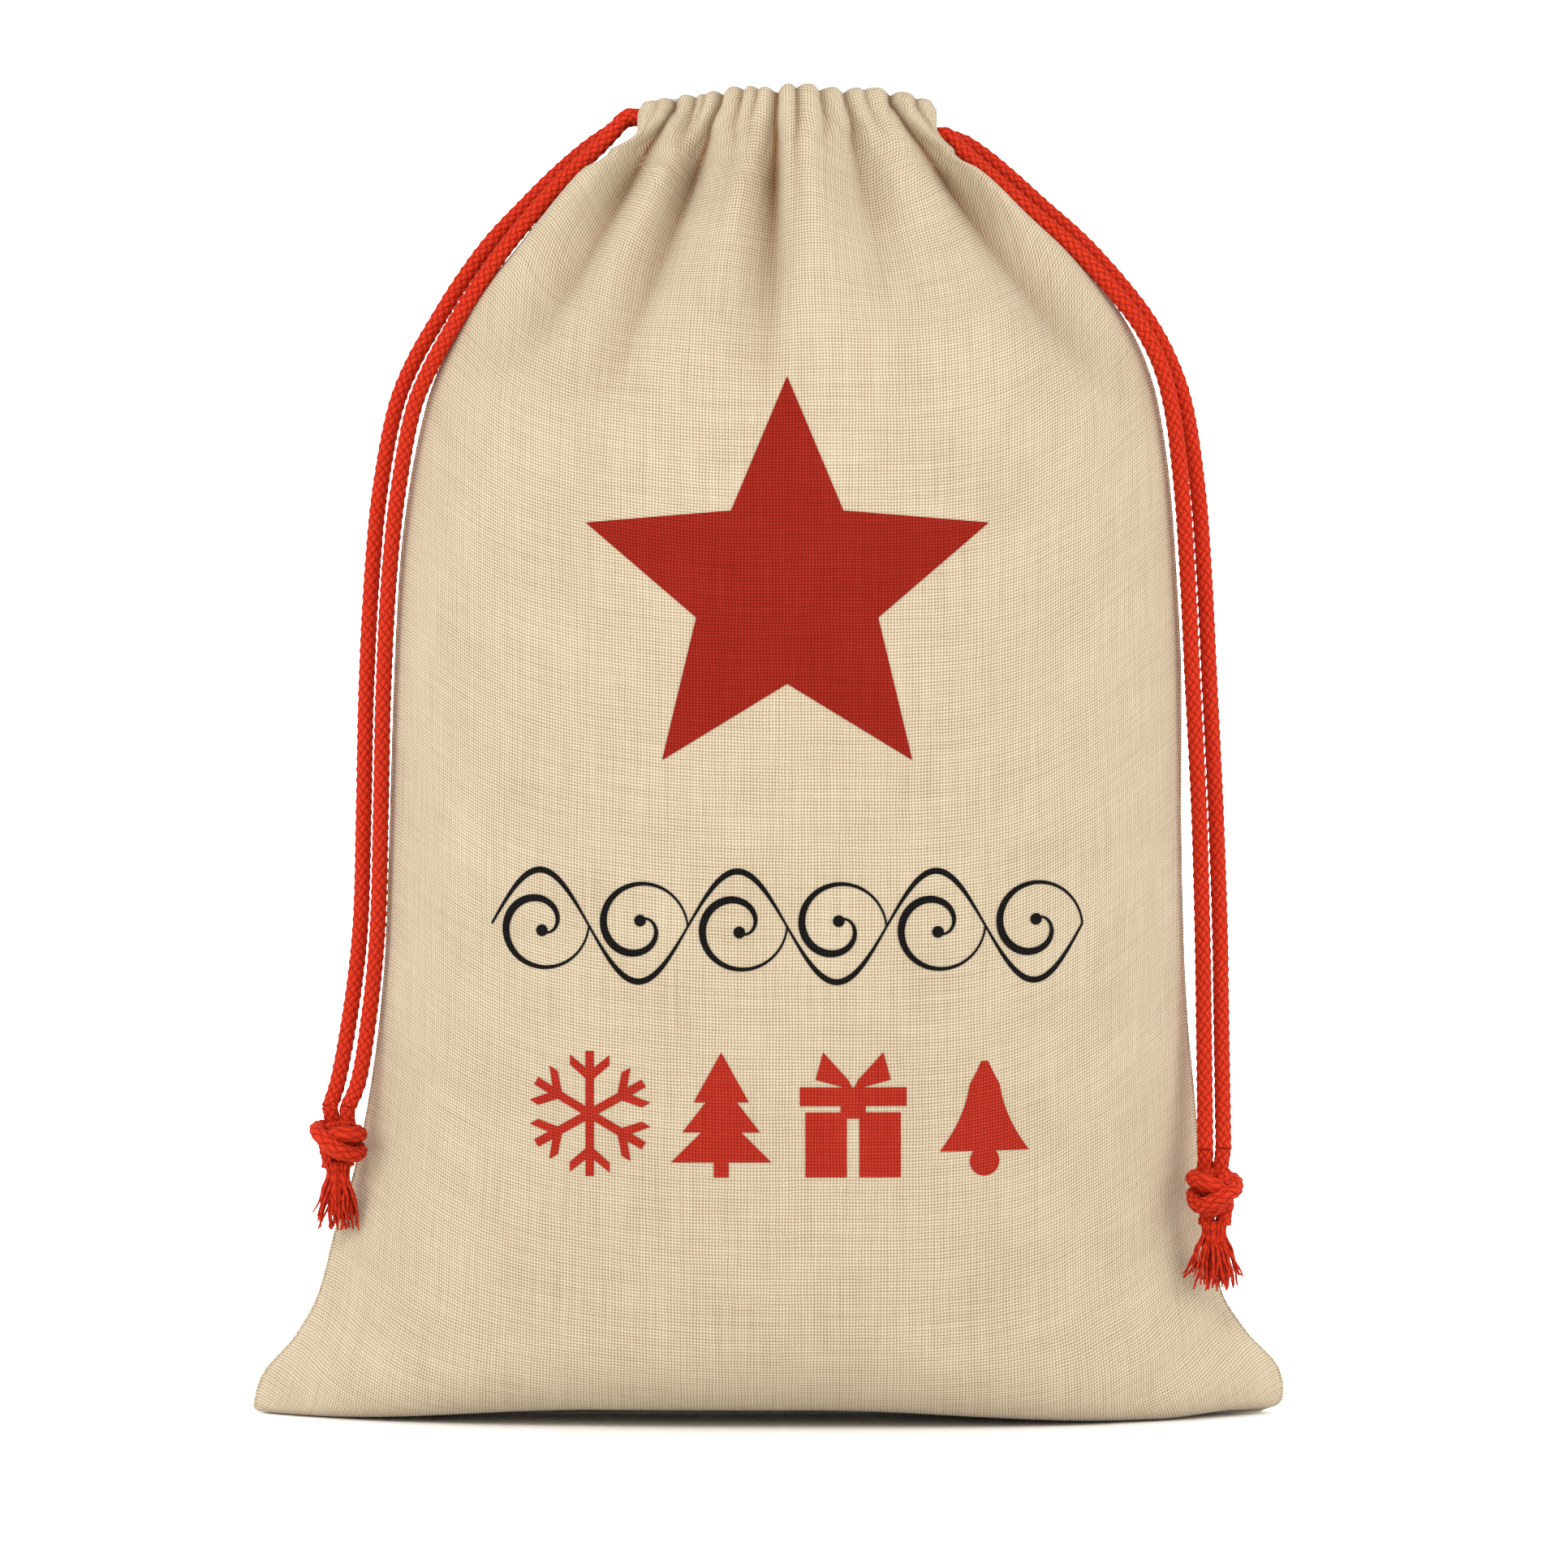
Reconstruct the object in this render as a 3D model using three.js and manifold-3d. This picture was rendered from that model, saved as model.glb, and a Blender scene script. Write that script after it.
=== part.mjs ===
// A printed cloth gift sack with a gathered neck and two drawstrings, standing filled on its base.
// Millimetres, +Z up, front towards -Y, origin on the floor at the middle of the base.
import * as THREE from 'three';
import * as BufferGeometryUtils from 'three/addons/utils/BufferGeometryUtils.js';
import Module from 'manifold-3d';

const wasm = await Module();
wasm.setup();

// Driving dimensions.
const CLOTH = 2;              // wall of the cloth with its slack
const GAP = 0.3;              // clearance between pieces that touch
const SACK_HEIGHT = 640;      // floor to the folded top edge
const BASE_WIDTH = 500;       // over the two bottom corners
const NECK_SHIFT = 8;         // the filled body leans this far to +X of its base corners
const NECK_HALF = 72;         // half the width of the gathered neck
const BODY_DEPTH = 210;       // front to back at the fullest height
const CASING_HEIGHT = 30;
const CORD_D = 8;
const CORD_CLEAR = 1;         // room round a cord inside its casing
const NECK_SPLIT = 2;         // half the opening between the two casings where the cords leave
const NECK_BULGE = 20;        // how far the gathered neck bows out at its middle
const PLEATS = 11;            // folds across the front of the neck
const PLEAT_DEPTH = 3.5;
const DRAW = 18;              // how far a drawstring can be pulled out of the neck
const NECK_STRAIGHT = NECK_HALF - DRAW - 4;   // the neck bows out inside this and is straight outside it
const COLUMNS = 4 * PLEATS;
const SEAM_WIDTH = 8;
const SEAM_THICK = 1.6;

const CASING_FLOOR = SACK_HEIGHT - CASING_HEIGHT;
const CASING_WALL = CLOTH;
const CHANNEL_HALF = CORD_D / 2 + CORD_CLEAR;
const CASING_HALF = CHANNEL_HALF + CASING_WALL;
const NECK_END_Y = CASING_HALF + NECK_SPLIT;   // from the middle plane to a cord where it leaves the neck
const RIGHT_CORD_Z = CASING_FLOOR + CLOTH + CORD_D / 2 + CORD_CLEAR / 2;
const LEFT_CORD_Z = RIGHT_CORD_Z + CORD_D + CORD_CLEAR;
const TURN_X = NECK_HALF - NECK_END_Y - CORD_D / 2 - 0.5;   // a cord starts its turn here at the far side
const TOP_GAP_Z = CASING_FLOOR - GAP;

// Left and right half widths as shares of the base's, at shares of the height from the floor to the neck.
const OUTLINE = [
  [0, 1.005, 0.995], [0.013, 1.0, 1.0], [0.028, 0.988, 0.992], [0.058, 0.926, 0.926], [0.09, 0.882, 0.876],
  [0.12, 0.85, 0.84], [0.18, 0.79, 0.825], [0.243, 0.768, 0.813], [0.334, 0.746, 0.793], [0.456, 0.741, 0.79],
  [0.548, 0.737, 0.786], [0.64, 0.724, 0.772], [0.7, 0.706, 0.755], [0.762, 0.672, 0.718], [0.793, 0.643, 0.688],
  [0.825, 0.607, 0.65], [0.854, 0.55, 0.587], [0.885, 0.472, 0.505], [0.91, 0.41, 0.44], [0.937, 0.335, 0.36],
  [0.953, 0.295, 0.315],
];
// The front wall's path in section: share of the height to the casing, share of the half depth, and how
// much of the width it takes, which rounds the base's corners in plan.
const SECTION = [
  [0, 0, 0.955], [0, 0.33, 0.97], [0, 0.57, 0.985], [0.005, 0.72, 1], [0.018, 0.82, 1], [0.05, 0.9, 1],
  [0.12, 0.945, 1], [0.23, 0.98, 1], [0.36, 1, 1], [0.5, 0.98, 1], [0.63, 0.93, 1], [0.738, 0.857, 1],
  [0.815, 0.76, 1], [0.88, 0.64, 1], [0.93, 0.51, 1], [0.97, 0.41, 1], [1, 0.33, 1],
];

const leftHalf = (BASE_WIDTH - CLOTH) / 2 + NECK_SHIFT;
const rightHalf = (BASE_WIDTH - CLOTH) / 2 - NECK_SHIFT;

function along(table, key, column) {
  let i = 1;
  while (i < table.length - 1 && table[i][0] < key) i += 1;
  const [low, high] = [table[i - 1], table[i]];
  const t = THREE.MathUtils.clamp((key - low[0]) / (high[0] - low[0]), 0, 1);
  return THREE.MathUtils.lerp(low[column], high[column], t);
}

function sideX(height, sign) {
  const share = height / SACK_HEIGHT;
  const blend = THREE.MathUtils.smoothstep(height, 0.97 * CASING_FLOOR, CASING_FLOOR);
  const body = sign < 0 ? leftHalf * along(OUTLINE, share, 1) : rightHalf * along(OUTLINE, share, 2);
  return NECK_SHIFT + sign * THREE.MathUtils.lerp(body, NECK_HALF + CLOTH, blend);
}

const spread = (u) => u * (1.3 - 0.3 * u * u);
const neckBow = (x) => (Math.abs(x) < NECK_STRAIGHT ? NECK_BULGE * Math.cos((Math.PI * x) / (2 * NECK_STRAIGHT)) ** 2 : 0);
const neckY = (x) => NECK_END_Y + neckBow(x);
const pleat = (u) => 0.5 * PLEAT_DEPTH * (1 + Math.cos(PLEATS * Math.PI * u)) * (1 - u ** 8);

// The middle of the cloth: u runs -1 to 1 across the sack, row is a place in SECTION; side is -1 in front.
function clothPoint(u, row, side) {
  const [share, depth, tuck] = SECTION[row];
  const z = CLOTH / 2 + share * (TOP_GAP_Z - CLOTH / 2);
  const s = spread(u) * tuck;
  const x = s < 0 ? NECK_SHIFT - s * (sideX(z, -1) - NECK_SHIFT) : NECK_SHIFT + s * (sideX(z, 1) - NECK_SHIFT);
  const round = (1 - Math.abs(spread(u)) ** 2.6) ** 0.9;
  const body = depth * 0.5 * BODY_DEPTH * round;
  const neck = (neckY(x - NECK_SHIFT) + CHANNEL_HALF) * (1 - Math.abs(s) ** 14);
  const near = THREE.MathUtils.smoothstep(share, 0.86, 1);
  const fold = near * pleat(u);
  return new THREE.Vector3(x, side * (CLOTH / 8 + THREE.MathUtils.lerp(body, neck, near) + fold), z);
}

// The cloth moved out along its normals; on the rims that meet the other panel they stay in the seam's
// plane, and at the top they are level, so that the rims close flat.
function clothGrid(side, offset) {
  const rows = SECTION.length;
  const points = [];
  for (let j = 0; j < rows; j += 1) {
    for (let i = 0; i <= COLUMNS; i += 1) {
      const u = (2 * i) / COLUMNS - 1;
      const at = (a, b) => clothPoint(THREE.MathUtils.clamp(a, -1, 1), THREE.MathUtils.clamp(b, 0, rows - 1), side);
      const across = at(u + 2 / COLUMNS, j).sub(at(u - 2 / COLUMNS, j));
      const up = at(u, j + 1).sub(at(u, j - 1));
      const normal = across.cross(up).multiplyScalar(-side).normalize();
      if (SECTION[j][0] === 0) normal.set(0, 0, -1);
      else if (i === 0 || i === COLUMNS) normal.setY(0).normalize();
      if (j === rows - 1) normal.setZ(0).normalize();
      const p = clothPoint(u, j, side).addScaledVector(normal, offset);
      p.z = Math.max(p.z, 0);
      points.push(p);
    }
  }
  return points;
}

// A closed wall between two grids of the same size.
function wallBetween(outer, inner, columns, flip) {
  const width = columns + 1;
  const rows = outer.length / width;
  const faces = [];
  const quad = (a, b, c, d) => faces.push(a, b, c, a, c, d);
  const n = outer.length;
  for (let j = 0; j < rows - 1; j += 1) {
    for (let i = 0; i < columns; i += 1) {
      const a = j * width + i;
      quad(a, a + 1, a + width + 1, a + width);
      quad(n + a, n + a + width, n + a + width + 1, n + a + 1);
    }
    const left = j * width;
    const right = left + columns;
    quad(left, left + width, n + left + width, n + left);
    quad(right, n + right, n + right + width, right + width);
  }
  for (let i = 0; i < columns; i += 1) {
    const top = (rows - 1) * width + i;
    quad(i, n + i, n + i + 1, i + 1);
    quad(top, top + 1, n + top + 1, n + top);
  }
  return geometryFrom([...outer, ...inner], flip ? faces.reverse() : faces);
}

function geometryFrom(points, faces) {
  const geometry = new THREE.BufferGeometry();
  geometry.setAttribute('position', new THREE.Float32BufferAttribute(points.flatMap((p) => [p.x, p.y, p.z]), 3));
  geometry.setIndex(faces);
  return geometry;
}

function panelGeometry(side) {
  return wallBetween(clothGrid(side, CLOTH / 2), clothGrid(side, -CLOTH / 2), COLUMNS, side > 0);
}

// Path of a cord channel through one half of the neck, seen from above.
function neckPath(x, side) {
  return new THREE.Vector2(x + NECK_SHIFT, side * neckY(x));
}

function neckOutward(x, side) {
  const step = 0.5;
  const run = neckPath(x + step, side).sub(neckPath(x - step, side)).normalize();
  return new THREE.Vector2(-side * run.y, side * run.x);
}

// The folded hem: a flat tube of cloth round each half of the neck, open at both ends for the cords. Its
// inner wall stops short of the ends, where a cord turns from one half into the other.
function casingGeometry(side) {
  const loop = (half, low, high, fold, scallop) => [
    [half + fold, low], [half + fold, high - 4], [half + fold - 3, high + scallop], [-half + 3, high + scallop],
    [-half - fold * 0.4, high - 4], [-half - fold * 0.4, low],
  ];
  const corners = 6;
  const outer = [];
  const inner = [];
  for (let i = 0; i <= COLUMNS; i += 1) {
    const u = (2 * i) / COLUMNS - 1;
    const x = NECK_HALF * u;
    const fold = pleat(u);
    const base = neckPath(x, side);
    const out = neckOutward(x, side);
    const place = ([r, z]) => new THREE.Vector3(base.x + out.x * r, base.y + out.y * r, z);
    outer.push(...loop(CASING_HALF, CASING_FLOOR, SACK_HEIGHT - 1, fold, 1).map(place));
    inner.push(...loop(CHANNEL_HALF, CASING_FLOOR + CLOTH, SACK_HEIGHT - CLOTH - 1, 0, 0).map(place));
  }
  const faces = [];
  const quad = (a, b, c, d) => faces.push(a, b, c, a, c, d);
  const n = outer.length;
  for (let k = 0; k < corners; k += 1) {
    const next = (k + 1) % corners;
    for (let i = 0; i < COLUMNS; i += 1) {
      const a = i * corners;
      quad(a + k, a + corners + k, a + corners + next, a + next);
      quad(n + a + k, n + a + next, n + a + corners + next, n + a + corners + k);
    }
    const end = COLUMNS * corners;
    quad(k, next, n + next, n + k);
    quad(end + k, n + end + k, n + end + next, end + next);
  }
  const tube = geometryFrom([...outer, ...inner], side > 0 ? faces.reverse() : faces);
  const low = CASING_FLOOR + CLOTH;
  const high = SACK_HEIGHT - CLOTH - 1;
  const opening = new THREE.BoxGeometry(NECK_HALF, 2 * (NECK_END_Y - CHANNEL_HALF + 0.1), high - low);
  return [-1, 1].reduce((solid, end) => {
    const at = opening.clone().translate(NECK_SHIFT + end * (TURN_X + 1 + NECK_HALF / 2), 0, (low + high) / 2);
    return fromManifold(toManifold(solid).subtract(toManifold(at)));
  }, tube);
}

function toManifold(geometry) {
  const bare = geometry.clone();
  bare.deleteAttribute('normal');
  bare.deleteAttribute('uv');
  const merged = BufferGeometryUtils.mergeVertices(bare, 1e-4);
  return new wasm.Manifold(new wasm.Mesh({
    numProp: 3,
    vertProperties: Float32Array.from(merged.attributes.position.array),
    triVerts: Uint32Array.from(merged.index.array),
  }));
}

function fromManifold(solid) {
  const mesh = solid.getMesh();
  const geometry = new THREE.BufferGeometry();
  geometry.setAttribute('position', new THREE.Float32BufferAttribute(mesh.vertProperties, 3));
  geometry.setIndex([...mesh.triVerts]);
  return geometry;
}

function tubeAlong(points, steps, sides = 8) {
  const section = new THREE.Shape();
  for (let k = 0; k < sides; k += 1) {
    const a = (2 * Math.PI * (k + 0.5)) / sides;
    const at = [0.5 * CORD_D * Math.cos(a), 0.5 * CORD_D * Math.sin(a)];
    if (k === 0) section.moveTo(...at);
    else section.lineTo(...at);
  }
  section.closePath();
  const path = new THREE.CatmullRomCurve3(points, false, 'centripetal');
  return new THREE.ExtrudeGeometry(section, { extrudePath: path, steps, curveSegments: 1, bevelEnabled: false });
}

// One cord runs round the whole neck: in at one side, round the far side, and back out beside itself.
function loopGeometry(side, z) {
  const straightEnd = side * (NECK_STRAIGHT - 2.5 * GAP);
  const points = [];
  const runs = 22;
  for (let i = 0; i <= runs; i += 1) {
    const x = straightEnd - side * ((TURN_X + straightEnd * side) * i) / runs;
    const p = neckPath(x, -1);
    points.push(new THREE.Vector3(p.x, p.y, z));
  }
  const turn = 6;
  for (let i = 1; i < turn; i += 1) {
    const a = (Math.PI * i) / turn;
    const x = NECK_SHIFT - side * (TURN_X + NECK_END_Y * Math.sin(a));
    points.push(new THREE.Vector3(x, -NECK_END_Y * Math.cos(a), z));
  }
  for (let i = runs; i >= 0; i -= 1) {
    const x = straightEnd - side * ((TURN_X + straightEnd * side) * i) / runs;
    const p = neckPath(x, 1);
    points.push(new THREE.Vector3(p.x, p.y, z));
  }
  return tubeAlong(points, 52);
}

const PIVOT_OUT = NECK_HALF + 5;   // the free strands turn about this distance from the neck's middle

function leadGeometry(side, face, z) {
  const y = face * NECK_END_Y;
  const from = NECK_SHIFT + side * NECK_STRAIGHT;
  const to = NECK_SHIFT + side * (PIVOT_OUT - CORD_D / 2 - 0.5);
  return tubeAlong([new THREE.Vector3(from, y, z), new THREE.Vector3((from + to) / 2, y, z), new THREE.Vector3(to, y, z)], 3);
}

// A free strand starts with a round end on its pivot, so that it can be lifted without touching its lead.
function strandGeometry(route, steps) {
  const points = route.map(([x, y, z]) => new THREE.Vector3(x, y, z));
  const ball = new THREE.SphereGeometry(CORD_D / 2, 8, 6).translate(...route[0]);
  return fromManifold(toManifold(tubeAlong(points, steps)).add(toManifold(ball)));
}

const pivotX = (side) => NECK_SHIFT + side * PIVOT_OUT;

const LEFT_FRONT = [
  [pivotX(-1), -NECK_END_Y, LEFT_CORD_Z], [-78, -9, 623.5], [-89, -8.5, 613], [-101, -8, 598], [-114, -7, 581],
  [-128, -6, 562.5], [-141.5, -5.5, 543.5], [-153.5, -5.5, 524], [-164, -5.5, 505], [-171.8, -5.5, 486],
  [-179.2, -5.5, 447.5], [-183.5, -5.5, 409], [-186.7, -5, 350], [-188, -5, 292], [-189.8, -4.5, 233],
  [-193.6, -5.5, 194], [-199, -12, 160], [-203.6, -16.6, 149],
];
const LEFT_BACK = [
  [pivotX(-1), NECK_END_Y, LEFT_CORD_Z], [-80, 8.5, 625], [-91, 7, 617], [-104, 5, 602.5], [-118, 4, 586],
  [-134.5, 3, 567], [-148.7, 3, 547.5], [-161, 3, 528], [-172.4, 3, 508], [-180.5, 3, 488],
  [-188.3, 3, 448.5], [-192.3, 3, 409], [-195.4, 3, 350], [-196.7, 3, 292], [-198.6, 3, 233],
  [-203, 1, 195], [-209, -8.5, 160], [-212.4, -14, 149],
];
const RIGHT_FRONT = [
  [pivotX(1), -NECK_END_Y, RIGHT_CORD_Z], [92, -9, 614.5], [102, -9, 607], [113, -9, 596.5], [128, -8.5, 582.5],
  [147, -8, 565], [164, -7.5, 546], [178, -7, 527], [187.5, -6.5, 507], [193, -6, 487],
  [198, -6, 448], [200.8, -6, 409], [203.7, -6, 350], [206.7, -6, 292], [208.4, -6.5, 233],
  [208.8, -11, 194], [208.8, -21, 155], [208.6, -29.9, 129.6],
];
const RIGHT_BACK = [
  [pivotX(1), NECK_END_Y, RIGHT_CORD_Z], [92, 8.5, 615], [103, 7.5, 608], [115, 6, 598], [131, 4.5, 583.5],
  [150, 3, 566.5], [167.5, 2.5, 547.5], [182.5, 2.5, 528], [193, 2.5, 508.5], [200, 2.5, 488],
  [206.2, 2.5, 448], [209.3, 2.5, 409], [212.3, 2, 350], [215.2, 1.5, 292], [217.2, 0, 233],
  [217.6, -5, 194], [217.6, -17, 155], [217.4, -28.1, 129.6],
];

// A turned form about a vertical axis, from [radius, height] pairs below its top face.
function turnedGeometry(profile, x, y, z) {
  const points = [new THREE.Vector2(0, 0), ...profile.map(([r, h]) => new THREE.Vector2(r, h)),
    new THREE.Vector2(0, profile[profile.length - 1][1])];
  return new THREE.LatheGeometry(points.reverse(), 14).rotateX(Math.PI / 2).translate(x, y, z);
}

const LEFT_KNOT = { x: -208, y: -17, top: 146.7, height: 27, radius: 13.2, tassel: 27, splay: 9.5 };
const RIGHT_KNOT = { x: 213, y: -30, top: 127.1, height: 35, radius: 13.2, tassel: 27, splay: 12.5 };

function knotGeometry({ x, y, top, height, radius }) {
  const profile = [[9.3, 0], [radius, -0.3 * height], [radius, -0.62 * height], [6.5, -height]];
  return turnedGeometry(profile, x, y, top);
}

function tasselGeometry({ x, y, top, height, tassel, splay }) {
  return turnedGeometry([[6, 0], [splay, -tassel]], x, y, top - height - GAP);
}

// Seam allowances lie inside the sack, across the plane where the two panels meet.
function sideSeamGeometry(side) {
  const low = 0.02 * SACK_HEIGHT;
  const high = 0.955 * SACK_HEIGHT;
  const count = 30;
  const edge = CLOTH / 2 + 4;
  const rail = (y) => {
    const points = [];
    for (let i = 0; i <= count; i += 1) {
      const z = THREE.MathUtils.lerp(low, high, i / count);
      const x = sideX(z, side) - side * edge;
      points.push(new THREE.Vector3(x, y, z), new THREE.Vector3(x - side * SEAM_WIDTH, y, z));
    }
    return points;
  };
  return wallBetween(rail(-SEAM_THICK / 2), rail(SEAM_THICK / 2), 1, side > 0);
}

function bottomSeamGeometry() {
  const reach = 0.44 * BASE_WIDTH;
  const low = CLOTH + GAP;
  return new THREE.BoxGeometry(2 * reach, SEAM_THICK, SEAM_WIDTH).translate(0, 0, low + SEAM_WIDTH / 2);
}

function tackGeometry(side) {
  const tall = 2;
  return new THREE.BoxGeometry(4, 8, tall)
    .translate(NECK_SHIFT + side * (NECK_HALF + CLOTH + GAP + 1), 0, TOP_GAP_Z + GAP + tall / 2);
}

// A flat outline, cut as a thin layer that follows the front panel just clear of it.
const INK = 0.5;
const inkLayer = toManifold(wallBetween(clothGrid(-1, CLOTH / 2 + GAP + INK), clothGrid(-1, CLOTH / 2 + GAP), COLUMNS, false));

function printed(shapes, x, z) {
  const cutters = shapes.map((shape) => {
    const block = new THREE.ExtrudeGeometry(shape, { depth: BODY_DEPTH, bevelEnabled: false, curveSegments: 6 });
    return toManifold(block.rotateX(Math.PI / 2).translate(x, 0, z));
  });
  const whole = cutters.reduce((sum, cutter) => sum.add(cutter));
  return fromManifold(inkLayer.intersect(whole));
}

const polygon = (points) => new THREE.Shape(points.map(([x, y]) => new THREE.Vector2(x, y)));

function starShape(outer, inner, points) {
  const corners = [];
  for (let k = 0; k < 2 * points; k += 1) {
    const r = k % 2 === 0 ? outer : inner;
    const a = Math.PI / 2 + (Math.PI * k) / points;
    corners.push([r * Math.cos(a), r * Math.sin(a)]);
  }
  return polygon(corners);
}

// A stroke of a broad pen: a run of four-sided pieces, each lapping a little over the next.
function strokeShapes(at, halfWidth, steps) {
  const lap = 0.12;
  const shapes = [];
  for (let i = 0; i < steps; i += 1) {
    const [p, q] = [at(i / steps), at(Math.min(1, (i + 1 + lap) / steps))];
    const run = q.clone().sub(p);
    const side = new THREE.Vector2(-run.y, run.x).setLength(halfWidth((i + 0.5) / steps));
    shapes.push(new THREE.Shape([p.clone().sub(side), q.clone().sub(side), q.clone().add(side), p.clone().add(side)]));
  }
  return shapes;
}

// A scroll ornament: a waving stem with a spiral curling back inside each of its half waves.
function scrollShapes(length, height, cells) {
  const cell = length / cells;
  const stem = (t) => new THREE.Vector2(length * (t - 0.5), 0.5 * height * Math.sin(Math.PI * cells * t));
  const shapes = strokeShapes(stem, (t) => 0.9 + 0.7 * Math.abs(Math.sin(Math.PI * cells * t)), 6 * cells);
  const turns = 2.4 * Math.PI;
  for (let k = 0; k < cells; k += 1) {
    const up = k % 2 === 0 ? 1 : -1;
    const middle = -length / 2 + cell * (k + 0.5);
    const curl = (t) => {
      const r = 0.5 * cell * (1 - t) ** 0.8 + 0.06 * cell * t;
      return new THREE.Vector2(middle + r * Math.cos(turns * t), -up * r * Math.sin(turns * t));
    };
    shapes.push(...strokeShapes(curl, (t) => 0.9 + 0.9 * Math.sin(Math.PI * t) ** 2, 10));
    shapes.push(discShape(curl(1), 0.06 * cell));
  }
  return shapes;
}

function discShape(middle, radius) {
  const corners = [];
  for (let k = 0; k < 10; k += 1) {
    const a = (Math.PI * k) / 5;
    corners.push([middle.x + radius * Math.cos(a), middle.y + radius * Math.sin(a)]);
  }
  return polygon(corners);
}

function crystalShapes(radius, width) {
  const shapes = [];
  for (let k = 0; k < 6; k += 1) {
    const turn = (points) => points.map(([x, y]) => {
      const a = (Math.PI * k) / 3;
      return [x * Math.cos(a) - y * Math.sin(a), x * Math.sin(a) + y * Math.cos(a)];
    });
    shapes.push(polygon(turn([[-width / 2, -width / 2], [width / 2, -width / 2], [width / 2, radius], [-width / 2, radius]])));
    for (const side of [-1, 1]) {
      const branch = [[0, 0.5 * radius], [side * 0.32 * radius, 0.78 * radius], [side * 0.32 * radius, 0.94 * radius], [0, 0.68 * radius]];
      shapes.push(polygon(turn(side > 0 ? branch : branch.reverse())));
    }
  }
  return shapes;
}

function treeShapes(height) {
  const tiers = [0, 1, 2].map((k) => {
    const base = (0.12 + 0.24 * k) * height;
    const half = (0.4 - 0.09 * k) * height;
    return polygon([[-half, base], [half, base], [0, base + 0.4 * height]]);
  });
  const trunk = polygon([[-0.06 * height, 0], [0.06 * height, 0], [0.06 * height, 0.14 * height], [-0.06 * height, 0.14 * height]]);
  return [...tiers, trunk];
}

function parcelShapes(height) {
  const wide = 0.38 * height;
  const band = 0.05 * height;
  const lid = 0.52 * height;
  const box = (x0, y0, x1, y1) => polygon([[x0, y0], [x1, y0], [x1, y1], [x0, y1]]);
  const shapes = [
    box(-wide, 0, -band, lid), box(band, 0, wide, lid), box(-1.12 * wide, lid + band, 1.12 * wide, lid + 4 * band),
    box(-2 * band, lid - band, 2 * band, lid + 2 * band),
  ];
  for (const side of [-1, 1]) {
    const bow = [[0, 0.7 * height], [side * 0.3 * height, 0.78 * height], [side * 0.24 * height, height], [side * 0.04 * height, 0.78 * height]];
    shapes.push(polygon(side > 0 ? bow : bow.reverse()));
  }
  return shapes;
}

function bellShapes(height) {
  const half = 0.36 * height;
  const profile = [];
  for (let k = 0; k <= 12; k += 1) {
    const t = k / 12;
    profile.push([half * (0.3 + 0.7 * t ** 2.2) * Math.min(1, 0.25 + 3 * t), height * (0.92 - 0.72 * t)]);
  }
  const body = [...profile.map(([x, y]) => [-x, y]), ...profile.reverse()];
  return [polygon(body), discShape(new THREE.Vector2(0, 0.12 * height), 0.12 * height)];
}

const PRINT_STAR = { radius: 100, waist: 45, x: NECK_SHIFT, z: 399 };
const PRINT_LINE = { length: 280, height: 52, cells: 6, z: 240 };
const MOTIF = { height: 59, z: 122, pitch: 62 };

const LINEN = { color: '#dccaab', roughness: 0.92, metalness: 0 };
const SCARLET = { color: '#d0341e', roughness: 0.75, metalness: 0 };
const RED_INK = { color: '#a52a1c', roughness: 0.85, metalness: 0 };
const BLACK_INK = { color: '#141210', roughness: 0.8, metalness: 0 };

const group = new THREE.Group();

function place(name, geometry, look) {
  const mesh = new THREE.Mesh(geometry, new THREE.MeshStandardMaterial(look));
  mesh.name = name;
  group.add(mesh);
}

place('front_panel', panelGeometry(-1), LINEN);
place('back_panel', panelGeometry(1), LINEN);
place('casing_front', casingGeometry(-1), LINEN);
place('casing_back', casingGeometry(1), LINEN);
place('side_seam_left', sideSeamGeometry(-1), LINEN);
place('side_seam_right', sideSeamGeometry(1), LINEN);
place('bottom_seam', bottomSeamGeometry(), LINEN);
place('bar_tack_left', tackGeometry(-1), LINEN);
place('bar_tack_right', tackGeometry(1), LINEN);

for (const [name, side, z, knot, routes] of [
  ['left', -1, LEFT_CORD_Z, LEFT_KNOT, [LEFT_FRONT, LEFT_BACK]],
  ['right', 1, RIGHT_CORD_Z, RIGHT_KNOT, [RIGHT_FRONT, RIGHT_BACK]],
]) {
  place(`cord_${name}_in_casing`, loopGeometry(side, z), SCARLET);
  place(`cord_${name}_lead_front`, leadGeometry(side, -1, z), SCARLET);
  place(`cord_${name}_lead_back`, leadGeometry(side, 1, z), SCARLET);
  place(`cord_${name}_front`, strandGeometry(routes[0], 32), SCARLET);
  place(`cord_${name}_back`, strandGeometry(routes[1], 32), SCARLET);
  place(`knot_${name}`, knotGeometry(knot), SCARLET);
  place(`tassel_${name}`, tasselGeometry(knot), SCARLET);
}

place('print_star', printed([starShape(PRINT_STAR.radius, PRINT_STAR.waist, 5)], PRINT_STAR.x, PRINT_STAR.z), RED_INK);
const scroll = scrollShapes(PRINT_LINE.length, PRINT_LINE.height, PRINT_LINE.cells);
place('print_scroll', printed(scroll, NECK_SHIFT, PRINT_LINE.z), BLACK_INK);
const motifs = [
  ['print_crystal', crystalShapes(MOTIF.height / 2, 4), MOTIF.height / 2],
  ['print_tree', treeShapes(MOTIF.height), 0],
  ['print_parcel', parcelShapes(MOTIF.height), 0],
  ['print_bell', bellShapes(MOTIF.height), 0],
];
motifs.forEach(([name, shapes, lift], k) => {
  place(name, printed(shapes, NECK_SHIFT + (k - 1.5) * MOTIF.pitch, MOTIF.z + lift), RED_INK);
});

export default group;
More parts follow.
